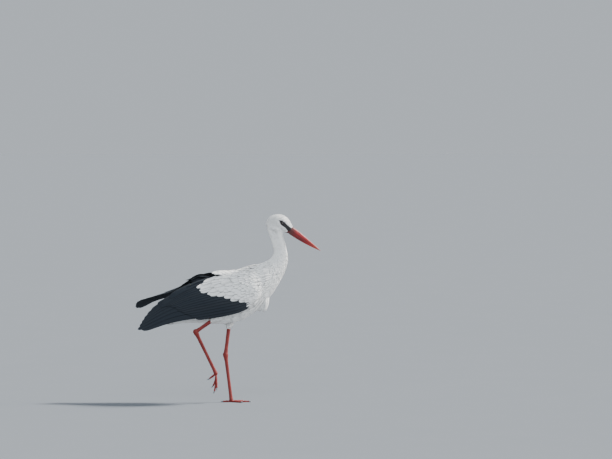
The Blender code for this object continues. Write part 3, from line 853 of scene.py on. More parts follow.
def contourShape(u):
    tip = max(0, (u - 0.58) / 0.42)
    return min(1, (u / 0.25) ** 0.6 if u > 0 else 0.05) * math.sqrt(max(1 - tip**2, 0.004))


def quillShape(u):
    tip = max(0, (u - 0.88) / 0.12)
    return min(1, 0.25 + (u / 0.12) ** 0.7) * math.sqrt(max(1 - tip**2.4, 0.003))


def plumeShape(u):
    tip = max(0, (u - 0.35) / 0.65)
    return min(1, 0.2 + u / 0.25) * max(1 - tip**1.4, 0.03)


laidForms = {
    # each ring of a vane: across from -1 to 1, and height in thicknesses; then steps along the vane
    "quill": {
        "ring": [(-1, 0), (-0.75, 0.5), (-0.48, 0.7), (-0.37, 0.9), (-0.32, 2.2), (-0.27, 0.9), (0.05, 0.9),
                 (0.45, 0.8), (0.78, 0.5), (1, 0), (0.45, -0.4), (-0.32, -0.9), (-0.7, -0.4)],
        "steps": 16,
        "shape": quillShape,
    },
    "covert": {
        "ring": [(-1, 0), (-0.5, 0.8), (0, 1.2), (0.5, 0.8), (1, 0), (0, -0.8)],
        "steps": 9,
        "shape": contourShape,
    },
    "plume": {"ring": [(-1, 0), (0, 1.0), (1, 0), (0, -0.8)], "steps": 14, "shape": plumeShape},
}
tipCrowding = 1.5  # how much closer a vane's rings stand towards its tip


def sharesAlong(form):
    last = laidForms[form]["steps"] - 1
    return [1 - (1 - k / last) ** tipCrowding for k in range(last + 1)]


def formObject(form):
    ring, steps = laidForms[form]["ring"], laidForms[form]["steps"]
    points, across = [], []
    for k, u in enumerate(sharesAlong(form)):
        for a, h in ring:
            points.append((a, k / (steps - 1), h))
            across.append((0.5 + a / 2, u))
    return vaneObject(form, points, tubeFaces(steps, len(ring)), across)


class Vane:
    # one feather's shaft: its places, the directions across and out of it, and half its width
    def __init__(self, form, widest):
        self.shares = sharesAlong(form)
        self.half = [widest * laidForms[form]["shape"](u) for u in self.shares]
        self.places, self.across, self.out = [], [], []

    def lay(self, place, across, out):
        self.places.append(place)
        self.across.append(across)
        self.out.append(out)

    def follow(self, place, along, out, lift=0.0):
        # squares the way out to the way along, and lays the vane across both
        out = (out - along * out.dot(along)).normalized()
        self.lay(place + out * lift, out.cross(along).normalized(), out)


def laidOn(surface, at, ahead, beside):
    # a place on a surface, the way along it and the way across, square to each other
    here = surface(*at)
    along = (surface(*ahead) - here).normalized()
    across = surface(*beside) - here
    return here, along, (across - along * across.dot(along)).normalized()


def between(pair, u):
    return pair[0] + (pair[1] - pair[0]) * u


def jitter(k, salt=0):
    # an even scatter from -1 to 1 that is the same each run
    return math.sin(k * 12.9898 + salt * 78.233) * 43758.5453 % 1 * 2 - 1


def laidBuild(graph, wires):
    # one vane for every run of shaft points, bent to run along them
    shafts, steps = wires["Geometry"], wires["Steps"]
    count = graph.add("GeometryNodeAttributeDomainSize", {"component": "MESH"}, {"Geometry": shafts})
    roots = graph.add("GeometryNodePoints", None, {"Count": count / steps})
    roots = graph.keep(roots, "which", graph.add("GeometryNodeInputIndex"))
    roots = graph.keep(roots, "tone", graph.chance(0.0, 1.0, wires["Seed"]) ** 2)
    solid = graph.repeated(wires["Vane"], roots)
    here = graph.add("GeometryNodeInputPosition")
    form = graph.add("ShaderNodeSeparateXYZ", None, {0: here})
    across, along, height = form.out("X"), form.out("Y"), form.out("Z")
    first = graph.read("which") * steps
    index = (first + along * (steps - 1)).math("ROUND")

    def ofShaft(value, place, kind="FLOAT_VECTOR"):
        return graph.add(
            "GeometryNodeSampleIndex", {"data_type": kind, "domain": "POINT"},
            {"Geometry": shafts, "Value": value, "Index": place},
        )

    half = ofShaft(graph.read("half"), index, "FLOAT")
    out = ofShaft(graph.read("out", "FLOAT_VECTOR"), index)
    side = graph.scaled(ofShaft(graph.read("across", "FLOAT_VECTOR"), index), across * half)
    high = height * wires["Thickness"] - across * across * half * wires["Camber"]
    place = graph.vector("ADD", ofShaft(here, index), side)
    place = graph.vector("ADD", place, graph.scaled(out, high))
    rootPlace = ofShaft(graph.read("rootPlace", "FLOAT_VECTOR"), first)
    rooted = graph.keep(solid, "rootPlace", rootPlace, "FLOAT_VECTOR")
    moved = graph.add("GeometryNodeSetPosition", None, {"Geometry": rooted, "Position": place})
    mapped = bakePatch(graph, moved, graph.read("rootPlace", "FLOAT_VECTOR"))
    return graph.closed(mapped, wires["Material"])


laidTree = growTree(
    "laidFeathers",
    {"Vane": "Object", "Steps": "Int", "Thickness": "Float", "Camber": "Float", "Seed": "Int",
     "Material": "Material"},
    laidBuild,
)


def layFeathers(name, form, vanes, material, thickness, camber, seed, *replaced):
    # thickness is that of a vane's middle, camber how far its edges droop by its width
    points = [p for v in vanes for p in v.places]
    mesh = meshOf(name + "Shafts", points, [])
    store(mesh, "across", [tuple(p) for v in vanes for p in v.across])
    store(mesh, "out", [tuple(p) for v in vanes for p in v.out])
    store(mesh, "half", [h for v in vanes for h in v.half])
    roots = [tuple(ground.patch(v.places[0])) for v in vanes]
    store(mesh, "rootPlace", [place for place, v in zip(roots, vanes) for _ in v.places])
    vane = formObject(form)
    values = {"Vane": vane, "Steps": laidForms[form]["steps"], "Thickness": thickness, "Camber": camber,
              "Seed": seed, "Material": material}
    piece = grown(name, mesh, laidTree, values)
    bpy.data.objects.remove(vane)
    settle(piece, "flight_feathers" if material == blackFeather else "plumage", *replaced)


# wings

wingRows = {
    # lower edge forward, up, out; upper edge forward, up, out; bulge
    "right": [
        (0.160, 0.500, 0.052, 0.160, 0.534, 0.050, 0.006),
        (0.132, 0.446, 0.072, 0.136, 0.570, 0.062, 0.018),
        (0.086, 0.413, 0.080, 0.082, 0.583, 0.052, 0.030),
        (0.030, 0.390, 0.082, 0.024, 0.580, 0.044, 0.035),
        (-0.045, 0.376, 0.080, -0.035, 0.571, 0.038, 0.034),
        (-0.120, 0.367, 0.074, -0.100, 0.546, 0.032, 0.029),
        (-0.190, 0.359, 0.066, -0.165, 0.522, 0.026, 0.022),
        (-0.255, 0.349, 0.057, -0.225, 0.492, 0.021, 0.015),
        (-0.315, 0.333, 0.048, -0.285, 0.450, 0.017, 0.009),
        (-0.366, 0.317, 0.040, -0.342, 0.404, 0.014, 0.004),
    ],
    "left": [
        (0.166, 0.502, 0.052, 0.166, 0.536, 0.050, 0.006),
        (0.136, 0.452, 0.074, 0.138, 0.572, 0.062, 0.018),
        (0.088, 0.424, 0.084, 0.082, 0.586, 0.052, 0.030),
        (0.030, 0.406, 0.090, 0.024, 0.584, 0.044, 0.034),
        (-0.045, 0.402, 0.091, -0.035, 0.575, 0.036, 0.034),
        (-0.120, 0.410, 0.095, -0.106, 0.566, 0.026, 0.030),
        (-0.190, 0.430, 0.098, -0.170, 0.541, 0.018, 0.022),
        (-0.258, 0.459, 0.096, -0.236, 0.497, 0.014, 0.013),
        (-0.322, 0.446, 0.092, -0.305, 0.475, 0.018, 0.007),
        (-0.370, 0.423, 0.086, -0.362, 0.457, 0.026, 0.004),
    ],
}
wingPlan = {
    # where the white coverts end, in stations, at a share of the wing's width from below
    "covertsEnd": {
        "right": [(0.0, 1.35), (0.14, 1.75), (0.28, 2.9), (0.55, 4.5), (0.80, 5.35), (0.92, 5.05),
                  (1.0, 4.8)],
        "left": [(0.0, 2.0), (0.3, 3.15), (0.55, 4.3), (0.80, 4.6), (0.92, 4.1), (1.0, 3.9)],
    },
    # root share, tip share, tip station
    "primaries": {
        "right": [(0.10, 0.10, 9.30), (0.22, 0.27, 9.75), (0.33, 0.45, 9.66), (0.44, 0.62, 9.55),
                  (0.55, 0.77, 9.42), (0.66, 0.89, 9.22), (0.76, 0.97, 8.95), (0.84, 1.00, 8.45)],
        "left": [(0.10, 0.08, 9.60), (0.22, 0.22, 9.84), (0.33, 0.38, 9.90), (0.44, 0.54, 9.88),
                 (0.55, 0.69, 9.84), (0.66, 0.82, 9.76), (0.76, 0.92, 9.55), (0.84, 0.97, 9.05)],
    },
    # from the lowest secondary to the highest: count, roots' shares and tips' stations
    "secondaries": 15,
    "secondaryShares": (0.07, 0.97),
    "secondaryTips": {
        "right": [(0.0, 5.4), (0.25, 6.3), (0.5, 7.0), (0.75, 7.7), (0.9, 8.2), (1.0, 7.6)],
        "left": [(0.0, 5.4), (0.25, 6.3), (0.5, 7.0), (0.72, 7.6), (0.84, 7.4), (0.93, 6.6), (1.0, 6.2)],
    },
    "firstRoot": 1.75,  # no secondary starts forward of this station
    # forward and up along the top of the back over each wing, black behind the white tuft's tip
    "topLine": {
        "left": [(-0.200, 0.531), (-0.188, 0.5365), (-0.170, 0.5425), (-0.151, 0.5525), (-0.127, 0.5630),
                 (-0.100, 0.5630), (-0.075, 0.5620), (-0.050, 0.5650), (-0.020, 0.5680), (0.02, 0.570)],
        "right": [(-0.186, 0.512), (-0.150, 0.527), (-0.120, 0.539), (-0.092, 0.5460), (-0.072, 0.5525),
                  (-0.037, 0.5650), (-0.010, 0.5680), (0.02, 0.570)],
        "out": [(-0.200, 0.020), (-0.100, 0.028), (0.0, 0.040)],
    },
    # inward from the top line, down from it, forward places of the root and the tip, lean
    "tertials": {
        "right": [(0.022, 0.007, -0.015, -0.135, -0.25), (0.016, 0.004, -0.005, -0.172, -0.1),
                  (0.011, 0.002, 0.0, -0.155, 0.05), (0.006, 0.000, -0.01, -0.188, 0.2),
                  (-0.006, 0.008, -0.020, -0.170, 0.55), (-0.012, 0.017, -0.030, -0.150, 0.7)],
        "left": [(0.016, 0.020, -0.030, -0.145, -2.2), (0.010, 0.010, -0.025, -0.165, -1.8),
                 (0.022, 0.007, -0.015, -0.135, -0.25), (0.016, 0.004, -0.005, -0.172, -0.1),
                 (0.011, 0.002, 0.0, -0.155, 0.05), (0.006, 0.000, -0.01, -0.188, 0.2)],
    },
    # half width of the lowest flight feather, the highest and the tertials
    "quillHalf": (0.0125, 0.0175),
    "tertialHalf": 0.0135,
    "tertialSink": 0.012,  # how deep a tertial's root lies
    # height over the wing at the root and the tip, and how far the upper edge drops
    "primaryLifts": (-0.0045, -0.0005),
    "primaryTilt": 0.05,
    "secondaryLifts": (-0.0050, 0.0006),
    "secondaryTilt": 0.07,
    # in stations: how far behind the coverts' end the primaries start, and before it the secondaries
    "behindCoverts": 0.6,
    "underCoverts": 1.0,
    "underHighest": 0.35,
    "ragged": 0.08,  # unevenness of the secondaries' tips
}
covertPlan = {
    "rows": [1.0, 0.86, 0.73, 0.61, 0.50, 0.40, 0.31],  # tips by the share of the way to the coverts' end
    "length": 0.064,  # of the last row
    "shorter": 0.039 / 0.84,  # by the share of the way forward
    "front": 0.2,  # the station that the rows' tips are counted from
    "firstTip": 0.55,  # no covert ends forward of this
    "pitch": 0.050,
    "shares": {"right": (0.15, 0.93), "left": (0.15, 0.97)},
    "ragged": (0.22, 0.15),  # unevenness of the last row's tips and of the others', in stations
    "half": (0.0017, 0.160),  # half width: fixed, and by the length
    "lowest": 0.3,  # up to this share the coverts grow narrower and their roots stand higher
    "narrower": 0.45,
    # height over the wing at the root and the tip, and how much higher the lowest stand
    "lifts": (-0.0034, -0.0026),
    "raised": (0.0040, 0.0033),
    "tilt": 0.05,
}
stationLength = 0.068
sideOf = {"left": 1, "right": -1}


def wingPlace(wing, station, share):
    rows = wingRows[wing]
    last = len(rows) - 1
    if station > last:
        end, before = wingPlace(wing, last, share), wingPlace(wing, last - 0.1, share)
        return end + (end - before) * (station - last) / 0.1
    row = rowAt(rows, max(station, 0))
    lower, upper = Vector(row[0:3]), Vector(row[3:6])
    chord = (upper - lower).normalized()
    outward = Vector((0, -chord.z, chord.y)).normalized()
    inside = min(max(share, 0), 1)
    forward, up, out = lower.lerp(upper, share) + outward * row[6] * 4 * inside * (1 - inside)
    return bird(forward, sideOf[wing] * out, up)


def wingVane(form, widest, wing, start, end, lifts, tilt):
    # a feather from one (station, share) of the wing to another; tilt drops its upper edge
    vane = Vane(form, widest)
    for u in vane.shares:
        a, b = between((start[0], end[0]), u), between((start[1], end[1]), u)
        here, along, across = laidOn(wingPlace, (wing, a, b), (wing, a + 0.03, b), (wing, a, b + 0.03))
        out = along.cross(across) * sideOf[wing]
        vane.lay(here + out * between(lifts, u), (across - out * tilt).normalized(), out)
    return vane


def edgeVane(wing, tertial):
    # a feather over the wing's upper edge, from one forward place to another
    inward, sunk, first, final, lean = tertial
    side = sideOf[wing]
    knots, aside = wingPlan["topLine"][wing], wingPlan["topLine"]["out"]
    vane = Vane("quill", wingPlan["tertialHalf"])

    def place(forward):
        return bird(forward, side * (through(aside, forward) - inward), through(knots, forward) - sunk)

    for u in vane.shares:
        forward = between((first, final), u)
        along = (place(forward - 0.002) - place(forward + 0.002)).normalized()
        vane.follow(place(forward), along, bird(0, side * lean, 1), -wingPlan["tertialSink"] * (1 - u) ** 3)
    return vane


def covertsEnd(wing, share):
    return through(wingPlan["covertsEnd"][wing], share)


def makeQuills(wing):
    vanes = []
    plan = wingPlan
    for rootShare, tipShare, tip in plan["primaries"][wing]:
        start = (covertsEnd(wing, rootShare) + plan["behindCoverts"], rootShare)
        half, end = plan["quillHalf"][0], (tip, tipShare)
        vanes.append(wingVane("quill", half, wing, start, end, plan["primaryLifts"], plan["primaryTilt"]))
    count = plan["secondaries"]
    for k in range(count):
        t = k / (count - 1)
        share = between(plan["secondaryShares"], t)
        covered = plan["underCoverts"] if share < 0.9 else plan["underHighest"]
        start = (max(covertsEnd(wing, share) - covered, plan["firstRoot"]), share)
        tip = through(plan["secondaryTips"][wing], t) + plan["ragged"] * jitter(k, 3)
        half, end = between(plan["quillHalf"], t), (tip, share * 0.97 - 0.01)
        vanes.append(wingVane("quill", half, wing, start, end, plan["secondaryLifts"], plan["secondaryTilt"]))
    vanes += [edgeVane(wing, tertial) for tertial in plan["tertials"][wing]]
    layFeathers(f"quills_{wing}", "quill", vanes, blackFeather, 0.0003, 0.05, 61,
                f"wing_{wing}_secondaries", f"wing_{wing}_primaries")


def makeCoverts(wing):
    vanes = []
    plan = covertPlan
    pitch, (below, above), front = plan["pitch"], plan["shares"][wing], plan["front"]
    for r, f in enumerate(plan["rows"]):
        length = plan["length"] - plan["shorter"] * (1 - f)
        ragged = plan["ragged"][min(r, 1)]
        for k in range(int(1.0 / pitch) + 1):
            share = 0.015 + pitch * (k + 0.5 * (r % 2) + 0.24 * jitter(r, k))
            tip = front + (covertsEnd(wing, share) - front) * f + ragged * jitter(k, r)
            if not below <= share <= above or tip < plan["firstTip"]:
                continue
            start = (max(tip - length / stationLength, 0.0), min(share + 0.03, 1.0))
            low = 1 - min(share / plan["lowest"], 1)
            raised = (low, min(tip - plan["firstTip"] + low, 1))  # at the root and the tip
            lifts = [a + b * c for a, b, c in zip(plan["lifts"], plan["raised"], raised)]
            half = (plan["half"][0] + plan["half"][1] * length) * (1 - plan["narrower"] * low)
            half *= 1 + 0.10 * jitter(k, r + 3)
            vanes.append(wingVane("covert", half, wing, start, (tip, share), lifts, plan["tilt"]))
    layFeathers(f"coverts_{wing}", "covert", vanes, whiteFeather, 0.0003, 0.04, 71)


for wing in sideOf:
    makeQuills(wing)
    makeCoverts(wing)


# scapulars over the back and the shoulders

backPlan = {
    # by the forward place: the top of the back, how far aside its feathers reach, how much lower they
    # are there
    "top": [(-0.080, 0.571), (-0.059, 0.5765), (-0.045, 0.5795), (0.0, 0.5810), (0.027, 0.5815),
            (0.045, 0.5860), (0.068, 0.5950), (0.100, 0.604), (0.127, 0.6105), (0.150, 0.617)],
    "reach": [(-0.070, 0.046), (0.0, 0.055), (0.060, 0.060), (0.100, 0.056), (0.140, 0.048)],
    "drop": [(-0.070, 0.018), (0.0, 0.017), (0.060, 0.025), (0.100, 0.036), (0.140, 0.043)],
    "rows": 12,
    "roots": (0.140, -0.004),  # forward place of the first row's and of the last row's
    "columns": 9,
    "lengths": (0.038, 0.068),
    "half": 0.17,  # by the length
    "sink": 0.011,  # how deep a root lies
    "most": 0.97,  # share of the reach past which there are no feathers
    "shorter": 0.16,  # by the share aside
    # unevenness of the share aside, the root's place and the length
    "ragged": (0.04, 0.006, 0.06),
}
shoulderPlan = {
    # forward place and length, column by column
    "columns": [(0.182, 0.028), (0.172, 0.031), (0.162, 0.034), (0.152, 0.036), (0.142, 0.038),
                (0.131, 0.040)],
    "up": (0.425, 0.595),
    "count": 18,
    "half": 0.18,
    "scatter": 0.008,
    "fall": (-0.42, 2.2),  # how steeply a feather points down at the height 0.5, and by the height
    "lifts": (0.0003, 0.0050),
    "apart": 0.008,  # a feather that stands further off than this, or turns away, is left out
    "turned": 0.25,
}


def backPlace(forward, share):
    # on the top of the plumage over the back; the share runs from -1 at the right wing to 1 at the left
    up = through(backPlan["top"], forward) - through(backPlan["drop"], forward) * abs(share) ** 2.5
    return bird(forward, share * through(backPlan["reach"], forward), up)


def backVane(root, length, share):
    vane = Vane("covert", length * backPlan["half"])
    for u in vane.shares:
        forward = root - length * u
        ahead, beside = (forward - 0.004, share), (forward, share + 0.05)
        here, along, across = laidOn(backPlace, (forward, share), ahead, beside)
        out = across.cross(along)
        out = out if out.z > 0 else -out
        vane.lay(here - out * backPlan["sink"] * (1 - u) ** 2, across, out)
    return vane


def shoulderVane(hit, heading, length):
    # a feather that follows the skin from the place hit, its tip raised
    vane = Vane("covert", length * shoulderPlan["half"])
    place, out, _ = ground.near(hit)
    reached = 0
    for u in vane.shares:
        if u:
            place, out, _ = ground.near(place + along * length * (u - reached))
            reached = u
        along = (heading - out * heading.dot(out)).normalized()
        vane.follow(place, along, out, between(shoulderPlan["lifts"], u))
    return vane


def liesClose(vane):
    return all(
        (ground.near(place)[0] - place).length < shoulderPlan["apart"]
        and out.dot(vane.out[0]) > shoulderPlan["turned"]
        for place, out in zip(vane.places, vane.out)
    )


def makeScapulars():
    vanes = []
    rows, columns = backPlan["rows"], backPlan["columns"]
    aside, along, longer = backPlan["ragged"]
    for r in range(rows):
        t = r / (rows - 1)
        for c in range(columns):
            share = between((-0.95, 0.95), (c + 0.5 * (r % 2) + 0.25) / columns) + aside * jitter(r, c)
            forward = between(backPlan["roots"], t) + along * jitter(c, r)
            length = between(backPlan["lengths"], t)
            length *= 1 - backPlan["shorter"] * abs(share) + longer * jitter(r, c + 4)
            if abs(share) < backPlan["most"]:
                vanes.append(backVane(forward, length, share))
    count = shoulderPlan["count"]
    for c, (forward, length) in enumerate(shoulderPlan["columns"]):
        for k in range(count):
            up = between(shoulderPlan["up"], (k + 0.5 * (c % 2)) / count) + 0.002 * jitter(k, c)
            for side in (1, -1):
                beside = bird(forward + shoulderPlan["scatter"] * jitter(k, c + 3 * side), side * 0.3, up)
                hit, _, _, _ = ground.tree.ray_cast(beside, Vector((-side, 0, 0)))
                if hit is None:
                    continue
                fall, byHeight = shoulderPlan["fall"]
                slope = fall + 0.10 * jitter(k, c + 5) + (up - 0.5) * byHeight
                vane = shoulderVane(hit, bird(-1, 0, slope).normalized(), length)
                if liesClose(vane):
                    vanes.append(vane)
    layFeathers("scapulars", "covert", vanes, whiteFeather, 0.00035, 0.07, 81)


makeScapulars()


# tail

tailPlan = {
    "root": (-0.215, 0.386),
    "slope": math.radians(-20),
    "length": 0.146,
    "tuck": 0.030,  # how much of each feather lies forward of the root
    "pairs": 6,
    "spread": (0.019, 0.031),  # half the tail's width at its root and its tip
    "arch": 0.006,
    "rounding": 0.014,
    "half": 0.0105,
    # back from the root, length and count, row by row, above and below the tail alike
    "coverts": [(-0.035, 0.100, 7), (-0.040, 0.078, 7), (-0.044, 0.056, 6)],
    # height at the root and the tip by the way, 1 above and -1 below, and how much more each row stands
    "covertLifts": {1: (0.0060, 0.0035), -1: (0.0060, 0.0065)},
    "rowLift": 0.0014,
}


def tailVane(form, t, back, length, lifts, way=1, spread=1.0):
    # t runs from -1 at the right edge to 1 at the left; way is 1 above the tail and -1 below it
    c, s = math.cos(tailPlan["slope"]), math.sin(tailPlan["slope"])
    forward, up = tailPlan["root"]
    near, far = tailPlan["spread"]
    drop = tailPlan["arch"] * t * t
    along = bird(-c, (far - near) / tailPlan["length"] * t, s).normalized()
    out = Vector((0.22 * t, -s, c)) * way
    vane = Vane(form, tailPlan["half"])
    for u in vane.shares:
        reach = back + length * u
        wide = between((near, far), max(min(reach / tailPlan["length"], 1), 0))
        place = bird(forward - c * reach, wide * t * spread, up + s * reach - drop)
        vane.follow(place, along, out, between(lifts, u))
    return vane


def makeTail():
    vanes = []
    pairs, tuck = tailPlan["pairs"], tailPlan["tuck"]
    for k in range(2 * pairs):
        t = (2 * k + 1) / (2 * pairs) - 1
        length = tailPlan["length"] + tuck - tailPlan["rounding"] * t * t
        lift = 0.0004 + 0.0022 * (1 - abs(t))  # the middle ones lie on top
        vanes.append(tailVane("quill", t, -tuck, length, (lift, lift)))
    layFeathers("tail_quills", "quill", vanes, whiteFeather, 0.0003, 0.04, 91, "tail")
    vanes = []
    for row, (back, length, count) in enumerate(tailPlan["coverts"]):
        for k in range(count):
            t = ((k + 0.5) / count * 2 - 1) * 0.92
            for way, lifts in tailPlan["covertLifts"].items():
                lifts = [lift + tailPlan["rowLift"] * row for lift in lifts]
                long = length * (1 + 0.06 * jitter(k, row + way))
                vanes.append(tailVane("covert", t, back, long, lifts, way, 0.95))
    layFeathers("tail_coverts", "covert", vanes, whiteFeather, 0.00035, 0.10, 95)


makeTail()


# hanging plumes of the breast

plumePlan = {
    # forward, up, half depth, half width of the hanging lock, from the breast down to its tip
    "locks": [
        [(0.186, 0.530, 0.010, 0.026), (0.176, 0.500, 0.011, 0.030), (0.166, 0.464, 0.015, 0.031),
         (0.160, 0.432, 0.0160, 0.024), (0.1565, 0.410, 0.0115, 0.013), (0.1545, 0.399, 0.003, 0.002)],
        [(0.160, 0.500, 0.012, 0.034), (0.153, 0.474, 0.014, 0.035), (0.147, 0.450, 0.014, 0.032),
         (0.142, 0.428, 0.013, 0.025), (0.138, 0.411, 0.010, 0.015), (0.135, 0.401, 0.003, 0.003)],
    ],
    "count": 170,  # in each lock
    "turn": 2.39996,  # from one plume to the next around the lock
    "inside": (0.72, 1.0),  # how far out of the lock's middle the inner and the outer ones hang
    "half": 0.0050,
    "lift": 0.0012,
}


def lockPlace(lock, k, row):
    # where plume k passes a row of its lock, and the way out of the lock there
    forward, up, deep, wide = rowAt(lock, min(max(row, 0), len(lock) - 1))
    angle = k * plumePlan["turn"] + 0.10 * math.sin(3 * row + k)
    c, s = math.cos(angle), math.sin(angle)
    inside = between(plumePlan["inside"], k / plumePlan["count"])
    return bird(forward + deep * c * inside, wide * s * inside, up), bird(c / deep, s / wide, 0).normalized()


def plumeVane(lock, k):
    # one plume of a lock; the inner ones start and end higher than the outer ones
    t = k / plumePlan["count"]
    first = 0.1 + 2.0 * (0.5 + 0.5 * jitter(k, 1)) * (0.3 + 0.7 * t)
    final = 5.0 - 1.9 * (0.5 + 0.5 * jitter(k, 2)) ** 1.6 * (1.1 - 0.6 * t)
    vane = Vane("plume", plumePlan["half"])
    for u in vane.shares:
        row = between((first, final), u)
        here, out = lockPlace(lock, k, row)
        ahead, _ = lockPlace(lock, k, row + 0.02)
        along = (ahead - here).normalized() if (ahead - here).length > 1e-7 else bird(0, 0, -1)
        vane.follow(here, along, out, plumePlan["lift"] * u)
    return vane


def makePlumes():
    vanes = [plumeVane(lock, k) for lock in plumePlan["locks"] for k in range(plumePlan["count"])]
    layFeathers("plumes", "plume", vanes, whiteFeather, 0.0003, 0.20, 97, "breast_plumes")


makePlumes()


# bill

billForm = {
    # along the head's axis from the eye: inside the head, at the feathers' edge, at the tip
    "start": 0.038,
    "base": 0.0483,
    "end": 0.2105,
    # above the axis: ridge and keel at the tip, how much further off at the base, and how they curve
    "tip": -0.0070,
    "ridge": (0.0190, 1.35),
    "keel": (-0.0166, 2.1),
    "edge": (-0.0082, -0.0070),  # the cutting edge, at the base and the tip
    "gap": (0.00042, 0.00022),  # half the line between the halves
    "half": (0.0007, 0.0118),  # half width at the tip, and how much more at the base
    "nostril": (0.086, 0.0075, 0.0046, 0.0010),  # middle along the bill, half length, fall, half height
    "dent": 0.30,  # how far the nostril presses the side in
    "crest": (0.55, 0.00035),  # from this share of the height up the ridge is sharper, by this
    "fullness": 0.8,  # below 1 the section is fuller than round
    "bite": (0.965, 0.94),  # width at the cutting edge and across the hidden face
    "tuck": (0.10, 0.008),  # how much slimmer inside the head, and over what length
    "tipCrowding": 1.25,
    "rings": 120,
    "around": 56,
}
billColours = {
    "red": ((0.22, 0.005, 0.010), (0.37, 0.012, 0.014)),
    "tip": (0.52, 0.070, 0.030),
    # the gape colour is painted shade along the line where the two halves meet
    "gape": (0.060, 0.014, 0.014),
    "blotch": (0.055, 0.012, 0.014),
    "base": (0.075, 0.020, 0.018),
    "nostril": (0.012, 0.004, 0.004),
}


def billShare(along):
    return (along - billForm["base"]) / (billForm["end"] - billForm["base"])


def billEdges(share):
    # the ridge, the cutting edge, the keel and half the width at a share of the bill
    t = 1 - share
    deep, curve = zip(billForm["ridge"], billForm["keel"])
    ridge, keel = (billForm["tip"] + d * (1 - share**c) for d, c in zip(deep, curve))
    slim, wider = billForm["half"]
    return ridge, between(billForm["edge"], share), keel, slim + wider * (0.78 * t + 0.22 * t**3)


def makeBillHalf(name, upper, material, node):
    rings, around = billForm["rings"], billForm["around"]
    half = around // 2
    middle, reach, fall, tall = billForm["nostril"]
    (crestFrom, crest), (atEdge, hidden) = billForm["crest"], billForm["bite"]
    slimmer, over = billForm["tuck"]
    points = []
    for k in range(rings):
        reached = 1 - (1 - k / (rings - 1)) ** billForm["tipCrowding"]
        along = between((billForm["start"], billForm["end"]), reached)
        share = max(billShare(along), 0)
        ridge, edge, keel, wide = billEdges(min(share, 0.999))
        tuck = 1 - slimmer * ease((billForm["base"] + over / 2 - along) / over)
        gap = between(billForm["gap"], share)
        start, final = (edge + gap, ridge) if upper else (edge - gap, keel)
        for m in range(around):
            if m <= half:  # over the outside
                a = math.pi * m / half
                side, high = math.cos(a), max(math.sin(a), 0) ** billForm["fullness"]
                side *= atEdge if m in (0, half) else 1.0
            else:  # back across the hidden cutting face
                side, high = hidden * (2 * (m - half) / (around - half) - 1), -0.02
            across = wide * side * tuck
            rise = start + (final - start) * high * tuck
            if upper:
                rise += crest * max(high - crestFrom, 0)
                dent = math.exp(-(((along - middle) / reach) ** 4) - ((rise - ridge + fall) / tall) ** 2)
                across *= 1 - billForm["dent"] * dent
            points.append(headPlace(along, rise, across))
    mesh = meshOf(name, points, tubeFaces(rings, around))
    outwards(mesh)
    mesh.materials.append(material)
    settle(plainObject(name, mesh), "bill", node)


def headAxes(graph):
    # distance along the head's axis from the eye, height above it and distance to the left
    origin = headPlace(0, 0)
    away = graph.vector("SUBTRACT", graph.place(), tuple(origin))
    axes = (headPlace(1, 0) - origin, headPlace(0, 1) - origin, bird(0, 1, 0))
    return [graph.vector("DOT_PRODUCT", away, tuple(axis), output="Value") for axis in axes]


def hornLook():
    colours = billColours

    def build(graph):
        along, rise, left = headAxes(graph)
        streaks = graph.noise(graph.combined(along * 22, rise * 260, left * 260), 1.0, 5.0)
        blotches = graph.noise(graph.combined(along * 40, rise * 90, left * 90), 1.0, 3.0)
        red = graph.blend(streaks, *[paint(*rgb) for rgb in colours["red"]])
        red = graph.blend(graph.between(along, 0.125, 0.205) * 0.8, red, paint(*colours["tip"]))
        # painted shade: a dark line along the join of the upper and lower halves
        gape = 1 - graph.between((rise + 0.0078).math("ABSOLUTE"), 0.0004, 0.0024)
        red = graph.blend(gape * 0.65, red, paint(*colours["gape"]))
        lowMiddle = (1 - graph.between(along, 0.10, 0.150)) * (1 - graph.between(rise, -0.011, -0.0075))
        red = graph.blend(lowMiddle * blotches * 1.1, red, paint(*colours["blotch"]))
        base = 1 - graph.between(along + blotches * 0.022 - 0.011, 0.052, 0.080)
        red = graph.blend(base * 0.85, red, paint(*colours["base"]))
        middle, reach, fall, tall = billForm["nostril"]
        start, final = (billEdges(billShare(end))[0] for end in (middle - reach, middle + reach))
        slope = (final - start) / (2 * reach)
        level = (rise - (along - (middle - reach)) * slope - (start - fall)) / (tall * 0.9)
        nostril = 1 - graph.between(((along - middle) / reach) ** 4 + level * level, 0.4, 1.3)
        red = graph.blend(nostril * 0.92, red, paint(*colours["nostril"]))
        bump = graph.bump(streaks + blotches * 0.3, 0.35, 0.0004)
        return {"Base Color": red, "Roughness": streaks * 0.25 + 0.36, "Normal": bump}

    return finish("beakHorn", build, {"Specular IOR Level": 0.4, "Coat Weight": 0.06, "Coat Roughness": 0.3})


beakHorn = hornLook()
makeBillHalf("billUpper", True, beakHorn, "bill_upper")
makeBillHalf("billLower", False, beakHorn, "bill_lower")


# eyes

eyeForm = {
    "turns": 40,
    "belts": 28,
    "forward": 0.28,  # how far the eyes look ahead
    "bulge": 0.06,  # of the cornea
    "cornea": 0.55,  # in radians from the middle, as are the two edges
    "pupil": (0.36, 0.40),
    "iris": (0.62, 0.72),
}


def eyeLook():
    def build(graph):
        apart = graph.marked("apart")
        flecks = graph.noise(graph.place(), 1500.0, 2.0)
        iris = graph.blend(flecks, paint(0.018, 0.009, 0.006), paint(0.060, 0.028, 0.016))
        colour = graph.blend(graph.between(apart, *eyeForm["pupil"]), paint(0.002, 0.002, 0.002), iris)
        colour = graph.blend(graph.between(apart, *eyeForm["iris"]), colour, paint(0.006, 0.005, 0.005))
        return {"Base Color": colour}

    return finish("eyeball", build, {"Roughness": 0.08, "Coat Weight": 1.0, "Coat Roughness": 0.02})


